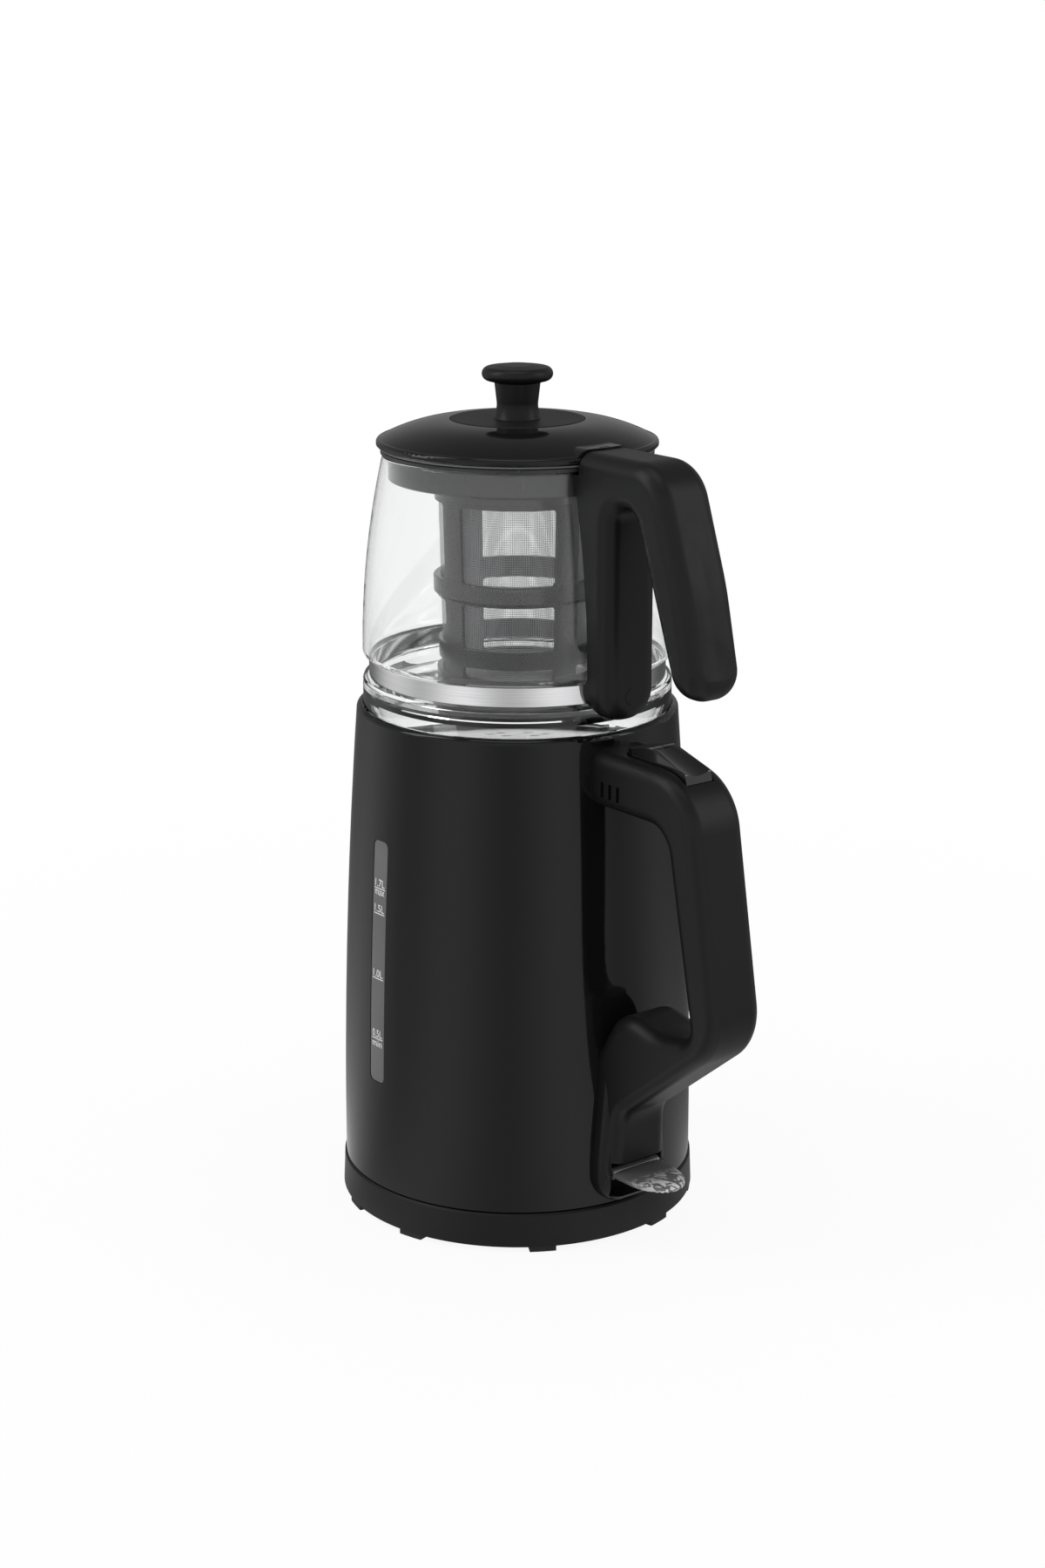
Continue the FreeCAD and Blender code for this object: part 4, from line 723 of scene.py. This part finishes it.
def rippleDrop(x, y, tip, rise, look):
    # how far the underside is cut into rings round the tip
    fade = max(0.0, 1.0 - math.hypot(tip - x, y * look["rippleSquash"]) / look["rippleReach"])
    ripple = math.sin(2 * math.pi * math.hypot(tip - look["rippleCentre"] - x, y) / look["rippleLength"])
    return look["rippleDepth"] * (0.5 + 0.5 * ripple) * min(1.0, look["rippleOnset"] * fade) * min(1.0, rise)


def makePaddle(look):
    high = Vector(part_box("switch_lever")[1]) / mm
    half = high.y
    pinLow, pinHigh = [Vector(corner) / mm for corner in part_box("lever_pivot_pin")]
    hubX, hubZ = (pinLow.x + pinHigh.x) / 2, (pinLow.z + pinHigh.z) / 2
    start, tip = hubX + look["start"], high.x - look["shorter"]
    straight = tip - look["nose"]
    middle = high.z - look["topDrop"] - look["thickness"] / 2
    solid = bmesh.new()
    sheets = {1: [], -1: []}
    for i in range(look["along"] + 1):
        share = math.sin(math.pi / 2 * i / look["along"])
        x = start + (tip - start) * share
        into = max(0.0, (x - straight) / look["nose"])
        width = max(look["leastWidth"], half * pillShare(into, look["noseRound"]))
        edge = look["thickness"] / 2 * pillShare(into, look["roundness"])
        for side in sheets:
            row = []
            for j in range(look["across"] + 1):
                across = math.sin(math.pi / 2 * (2 * j / look["across"] - 1))
                y = width * across
                rise = edge * pillShare(across, look["roundness"])
                if side < 0:
                    rise -= rippleDrop(x, y, tip, rise, look)
                row.append(solid.verts.new((x * mm, y * mm, (middle + side * rise) * mm)))
            sheets[side].append(row)
    for side, rows in sheets.items():
        for lowRow, highRow in zip(rows, rows[1:]):
            for a, b, c, d in zip(lowRow, lowRow[1:], highRow[1:], highRow):
                solid.faces.new((a, b, c, d) if side < 0 else (d, c, b, a))
    top, under = sheets[1][0], sheets[-1][0]
    for a, b, c, d in zip(top, top[1:], under[1:], under):
        solid.faces.new((a, b, c, d))
    bmesh.ops.remove_doubles(solid, verts=solid.verts, dist=look["weld"] * mm)
    hubOutline = ((look["bore"], -half), (look["hub"], -half), (look["hub"], half), (look["bore"], half))
    rings = []
    for i in range(look["hubSteps"]):
        turn = 2 * math.pi * i / look["hubSteps"]
        cos, sin = math.cos(turn), math.sin(turn)
        rings.append([solid.verts.new(((hubX + r * cos) * mm, y * mm, (hubZ + r * sin) * mm))
                      for r, y in hubOutline])
    for here, there in zip(rings, rings[1:] + rings[:1]):
        for j in range(len(hubOutline)):
            k = (j + 1) % len(hubOutline)
            solid.faces.new((here[j], there[j], there[k], here[k]))
    mesh = bpy.data.meshes.new("switchPaddle")
    solid.to_mesh(mesh)
    solid.free()
    sharpenEdges(mesh, look["sharpFrom"])
    return mesh


paddle = addPiece("switchPaddle", makePaddle(paddleLook), clearPlastic, "lever", smooth=True)
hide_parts("switch_lever")
print("switch paddle made")

# the strip spring under the release button, as a copy with a mesh of its own on the kettle
springCopy = addPiece("buttonSpring", nodes["button_spring"].data.copy(), plainMetal, "kettle")
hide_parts("button_spring")
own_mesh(springCopy)
print("button spring made")


# printed level marks on the window: words are flat text pressed onto the curved strip, in millimetres
levelMarks = {
    "lineWidth": 7.8, "lineHeight": 0.42, "lineSteps": 12, "thickness": 0.05, "proud": 0.03,
    "capHeight": 3.3, "wordWidth": 7.0, "smallHeight": 2.9, "smallWidth": 6.9, "flatLetters": 0.78,
    "gap": 0.75, "letterSteps": 4, "windowRadius": 77.0, "lookFrom": 120.0,
    "marks": [
        {"height": 87.0, "above": "0.5L", "below": "min"},
        {"height": 114.7, "above": "1.0L", "below": ""},
        {"height": 144.2, "above": "1.5L", "below": ""},
        {"height": 155.6, "above": "1.7L", "below": "max"},
    ],
}


def flatWord(word, width, height, look):
    curve = bpy.data.curves.new("word", "FONT")
    curve.body = word
    curve.extrude = 0.01  # only tells front from back, which the last line below sets to 1 and 0
    curve.resolution_u = look["letterSteps"]
    holder = bpy.data.objects.new("word", curve)
    bpy.context.scene.collection.objects.link(holder)
    bpy.context.view_layer.update()
    mesh = bpy.data.meshes.new_from_object(holder.evaluated_get(bpy.context.evaluated_depsgraph_get()))
    bpy.data.objects.remove(holder)
    bpy.data.curves.remove(curve)
    low = Vector((min(v.co.x for v in mesh.vertices), min(v.co.y for v in mesh.vertices)))
    high = Vector((max(v.co.x for v in mesh.vertices), max(v.co.y for v in mesh.vertices)))
    for v in mesh.vertices:
        v.co.x = ((v.co.x - low.x) / (high.x - low.x) - 0.5) * width
        v.co.y = (v.co.y - low.y) / (high.y - low.y) * height
        v.co.z = 1.0 if v.co.z > 0 else 0.0
    return mesh


def flatBar(width, height, look):
    bar = bmesh.new()
    steps = look["lineSteps"]
    for i in range(steps + 1):
        for z in (0.0, 1.0):
            for y in (0.0, height):
                bar.verts.new((width * (i / steps - 0.5), y, z))
    bar.verts.ensure_lookup_table()
    for i in range(steps):
        a, b = 4 * i, 4 * i + 4
        for p, q in ((0, 1), (1, 3), (3, 2), (2, 0)):
            bar.faces.new([bar.verts[k] for k in (a + p, a + q, b + q, b + p)])
    bar.faces.new([bar.verts[k] for k in (0, 2, 3, 1)])
    end = 4 * steps
    bar.faces.new([bar.verts[end + k] for k in (0, 1, 3, 2)])
    bmesh.ops.recalc_face_normals(bar, faces=bar.faces)
    mesh = bpy.data.meshes.new("bar")
    bar.to_mesh(mesh)
    bar.free()
    return mesh


def pressOnWindow(parts, look):
    window = skinOf("level_window")
    whole = bmesh.new()
    for mesh, level in parts:
        start = len(whole.verts)
        whole.from_mesh(mesh)
        whole.verts.ensure_lookup_table()
        for v in whole.verts[start:]:
            z = (level + v.co.y) * mm
            turn = v.co.x / look["windowRadius"]
            outward = Vector((math.sin(turn), -math.cos(turn), 0.0))
            hit = window.ray_cast(outward * (look["lookFrom"] * mm) + Vector((0, 0, z)), -outward)[0]
            reach = Vector((hit.x, hit.y)).length
            reach += (look["proud"] - look["thickness"] * (1.0 - v.co.z)) * mm
            v.co = outward * reach + Vector((0, 0, z))
    bmesh.ops.recalc_face_normals(whole, faces=whole.faces)
    result = bpy.data.meshes.new("levelMarks")
    whole.to_mesh(result)
    whole.free()
    return result


def markParts(mark, look):
    # each part is a mesh and the height of its lower edge
    line = flatBar(look["lineWidth"], look["lineHeight"], look)
    parts = [(line, mark["height"] - look["lineHeight"] / 2)]
    above = flatWord(mark["above"], look["wordWidth"], look["capHeight"], look)
    parts.append((above, mark["height"] + look["gap"]))
    if mark["below"]:
        tall = look["smallHeight"] * (look["flatLetters"] if mark["below"] == "max" else 1.0)
        below = flatWord(mark["below"], look["smallWidth"], tall, look)
        parts.append((below, mark["height"] - look["gap"] - tall))
    return parts


printed = [part for mark in levelMarks["marks"] for part in markParts(mark, levelMarks)]
addPiece("levelMarks", pressOnWindow(printed, levelMarks), whitePrint, "kettle")
print("level marks printed")


# faceted relief on the outer face of the teapot's grip, a skin that grows out of the moulding, in millimetres
gripRelief = {"low": 261.0, "high": 325.0, "halfWidth": 12.2, "endHalfWidth": 7.0, "endLength": 9.0,
              "step": 0.5, "column": 4.2, "row": 7.4, "peak": 0.34, "valley": 0.05, "margin": 1.6, "sink": 0.12,
              "seed": 11, "columnSeed": 131, "rowSeed": 17, "lookFrom": 160.0}


def facetHeight(y, z, look, heights):
    # heights joined by straight lines up each column and across to the next, odd columns half a row higher
    column = math.floor(y / look["column"])
    across = y / look["column"] - column

    def point(i):
        row = z / look["row"] - (0.5 if i % 2 else 0.0)
        return math.floor(row), row - math.floor(row)

    leftRow, leftShare = point(column)
    rightRow, rightShare = point(column + 1)

    def at(i, j):
        key = (i, j)
        if key not in heights:
            seed = look["seed"] + look["columnSeed"] * i + look["rowSeed"] * j
            heights[key] = random.Random(seed).uniform(look["valley"], look["peak"])
        return heights[key]

    left = at(column, leftRow) * (1 - leftShare) + at(column, leftRow + 1) * leftShare
    right = at(column + 1, rightRow) * (1 - rightShare) + at(column + 1, rightRow + 1) * rightShare
    return left * (1 - across) + right * across


def makeRelief(look):
    skin = skinOf("pot_handle_outer")
    across = int(2 * look["halfWidth"] / look["step"])
    along = int((look["high"] - look["low"]) / look["step"])
    heights = {}
    sheet = bmesh.new()
    grid = []
    for j in range(along + 1):
        row = []
        for i in range(across + 1):
            z = look["low"] + (look["high"] - look["low"]) * j / along
            arc = math.sin(math.pi / 2 * min(1.0, (z - look["low"]) / look["endLength"]))
            half = look["endHalfWidth"] + (look["halfWidth"] - look["endHalfWidth"]) * arc
            y = half * (2 * i / across - 1)
            outside = Vector((look["lookFrom"] * mm, y * mm, z * mm))
            hit, normal = skin.ray_cast(outside, Vector((-1, 0, 0)))[:2]
            edge = min(half - abs(y), z - look["low"], look["high"] - z)
            fade = min(1.0, max(0.0, edge / look["margin"]))
            lift = (facetHeight(y, z, look, heights) + look["sink"]) * fade - look["sink"]
            row.append(sheet.verts.new(hit + normal * lift * mm))
        grid.append(row)
    for j in range(along):
        for i in range(across):
            sheet.faces.new((grid[j][i], grid[j][i + 1], grid[j + 1][i + 1], grid[j + 1][i]))
    mesh = bpy.data.meshes.new("gripRelief")
    sheet.to_mesh(mesh)
    sheet.free()
    return mesh


addPiece("gripRelief", makeRelief(gripRelief), satinBlack, "teapot", smooth=True)
print("grip relief made")


# floor, world and lamps
stageLook = {"floorSize": 40.0, "floorColour": 0.9,
             "glowNear": 0.92, "glowFar": 1.0, "nearReach": 0.12, "farReach": 0.7,
             "floorFront": (0.61, -0.79, 0.0), "floorRange": (-1.0, 0.3), "floorBehind": 0.12,
             "bands": 5.0, "bandTurn": 0.654, "bandLow": 0.58,
             "worldStrength": 0.62, "front": (0.79, -0.61, 0.0), "frontRange": (-0.8, 0.5),
             "mirrorFront": 1.0, "mirrorBehind": 0.30, "topRange": (0.25, 0.95), "mirrorTop": 0.35}


def glossyShare(tree, path):
    # 1 for a mirrored ray that hasn't come through glass
    glossy, through = path.outputs["Is Glossy Ray"], path.outputs["Is Transmission Ray"]
    return calc(tree, "SUBTRACT", glossy, through, clamp=True)


floorMesh = bpy.data.meshes.new("floor")
half = stageLook["floorSize"] / 2
floorCorners = [(-half, -half, 0), (half, -half, 0), (half, half, 0), (-half, half, 0)]
floorMesh.from_pydata(floorCorners, [], [(0, 1, 2, 3)])
floor = bpy.data.objects.new("floor", floorMesh)
bpy.context.scene.collection.objects.link(floor)
floorPaint = bpy.data.materials.new("floorPaint")
floorPaint.use_nodes = True
tree = floorPaint.node_tree
tree.nodes.clear()
paint = putNode(tree, "ShaderNodeBsdfDiffuse", {"Color": (*[stageLook["floorColour"]] * 3, 1)})
glow = putNode(tree, "ShaderNodeEmission", {"Color": (1, 1, 1, 1)})
path = putNode(tree, "ShaderNodeLightPath")
spot = putNode(tree, "ShaderNodeTexCoord").outputs["Object"]
# what the gloss mirrors: soft upright bands, white in front of the object and dark behind it
toward = putNode(tree, "ShaderNodeVectorMath", operation="NORMALIZE")
tree.links.new(spot, toward.inputs[0])
forward = putNode(tree, "ShaderNodeVectorMath", {1: stageLook["floorFront"]}, operation="DOT_PRODUCT")
tree.links.new(toward.outputs[0], forward.inputs[0])
aside = stretch(tree, forward.outputs["Value"], *stageLook["floorRange"], stageLook["floorBehind"], 1.0)
parts = putNode(tree, "ShaderNodeSeparateXYZ")
tree.links.new(spot, parts.inputs[0])
around = calc(tree, "ARCTAN2", parts.outputs["Y"], parts.outputs["X"])
wave = calc(tree, "ADD", calc(tree, "MULTIPLY", around, stageLook["bands"]), stageLook["bandTurn"])
wave = calc(tree, "COSINE", wave)
mirrored = calc(tree, "MULTIPLY", aside, stretch(tree, wave, -1.0, 1.0, stageLook["bandLow"], 1.0))
tree.links.new(stretch(tree, glossyShare(tree, path), 0.0, 1.0, 1.0, mirrored), glow.inputs["Strength"])
seen = calc(tree, "ADD", path.outputs["Is Camera Ray"], path.outputs["Is Glossy Ray"], clamp=True)
seen = calc(tree, "ADD", seen, path.outputs["Is Transmission Ray"], clamp=True)
away = putNode(tree, "ShaderNodeVectorMath", operation="LENGTH")
tree.links.new(spot, away.inputs[0])
glowShare = stretch(tree, away.outputs["Value"], stageLook["nearReach"], stageLook["farReach"],
                    stageLook["glowNear"], stageLook["glowFar"])
blend = putNode(tree, "ShaderNodeMixShader")
tree.links.new(calc(tree, "MULTIPLY", seen, glowShare), blend.inputs[0])
tree.links.new(paint.outputs[0], blend.inputs[1])
tree.links.new(glow.outputs[0], blend.inputs[2])
tree.links.new(blend.outputs[0], putNode(tree, "ShaderNodeOutputMaterial").inputs["Surface"])
floorMesh.materials.append(floorPaint)

world = bpy.data.worlds.new("paleRoom")
world.use_nodes = True
bpy.context.scene.world = world
tree = world.node_tree
tree.nodes.clear()
path = putNode(tree, "ShaderNodeLightPath")
seen = calc(tree, "ADD", path.outputs["Is Camera Ray"], path.outputs["Is Transmission Ray"], clamp=True)
# what mirrors see: white in front of the object, greyer behind it and overhead
direction = putNode(tree, "ShaderNodeTexCoord").outputs["Generated"]
forward = putNode(tree, "ShaderNodeVectorMath", {1: stageLook["front"]}, operation="DOT_PRODUCT")
tree.links.new(direction, forward.inputs[0])
height = putNode(tree, "ShaderNodeSeparateXYZ")
tree.links.new(direction, height.inputs[0])
aside = stretch(tree, forward.outputs["Value"], *stageLook["frontRange"],
                stageLook["mirrorBehind"], stageLook["mirrorFront"])
over = stretch(tree, height.outputs["Z"], *stageLook["topRange"], 1.0, stageLook["mirrorTop"])
mirrored = calc(tree, "MULTIPLY", aside, over)
strength = stretch(tree, seen, 0.0, 1.0, stageLook["worldStrength"], 1.0)
pick = putNode(tree, "ShaderNodeMix", data_type="FLOAT")
tree.links.new(glossyShare(tree, path), pick.inputs["Factor"])
tree.links.new(strength, pick.inputs[2])
tree.links.new(mirrored, pick.inputs[3])
background = putNode(tree, "ShaderNodeBackground", {"Color": (1, 1, 1, 1)})
tree.links.new(pick.outputs[0], background.inputs["Strength"])
tree.links.new(background.outputs[0], putNode(tree, "ShaderNodeOutputWorld").inputs["Surface"])

lampLooks = {
    "softLeft": {"azimuth": -30.0, "elevation": 38.0, "distance": 1.6, "wide": 0.45, "tall": 1.3, "watts": 7.0},
    "softRight": {"azimuth": 135.0, "elevation": 30.0, "distance": 1.7, "wide": 0.35, "tall": 1.3,
                  "watts": 3.5},
    "softTop": {"azimuth": 30.0, "elevation": 82.0, "distance": 1.5, "wide": 0.9, "tall": 0.9, "watts": 3.5},
}
middle = (cadLow + cadHigh) / 2
for name, look in lampLooks.items():
    lampData = bpy.data.lights.new(name, "AREA")
    lampData.shape = "RECTANGLE"
    lampData.size, lampData.size_y, lampData.energy = look["wide"], look["tall"], look["watts"]
    lamp = bpy.data.objects.new(name, lampData)
    bpy.context.scene.collection.objects.link(lamp)
    turn, rise = math.radians(look["azimuth"]), math.radians(look["elevation"])
    out = Vector((math.sin(turn) * math.cos(rise), -math.cos(turn) * math.cos(rise), math.sin(rise)))
    lamp.location = middle + out * look["distance"]
    lamp.rotation_euler = out.to_track_quat("Z", "Y").to_euler()
print("stage and lamps set")


# camera: lens and sensor in millimetres, shift as a share of the frame
cameraLook = {"place": (0.9418, -0.7227, 0.5294), "aim": (0.0, 0.0, 0.1896), "lens": 63.75, "sensor": 36.0,
              "shift": 0.00324}
cameraData = bpy.data.cameras.new("mainCamera")
cameraData.lens = cameraLook["lens"]
cameraData.sensor_width = cameraLook["sensor"]
cameraData.shift_x = cameraLook["shift"]
camera = bpy.data.objects.new("mainCamera", cameraData)
bpy.context.scene.collection.objects.link(camera)
camera.location = cameraLook["place"]
camera.rotation_euler = (Vector(cameraLook["aim"]) - camera.location).to_track_quat("-Z", "Y").to_euler()
bpy.context.scene.camera = camera
bpy.context.scene.view_settings.view_transform = "Standard"
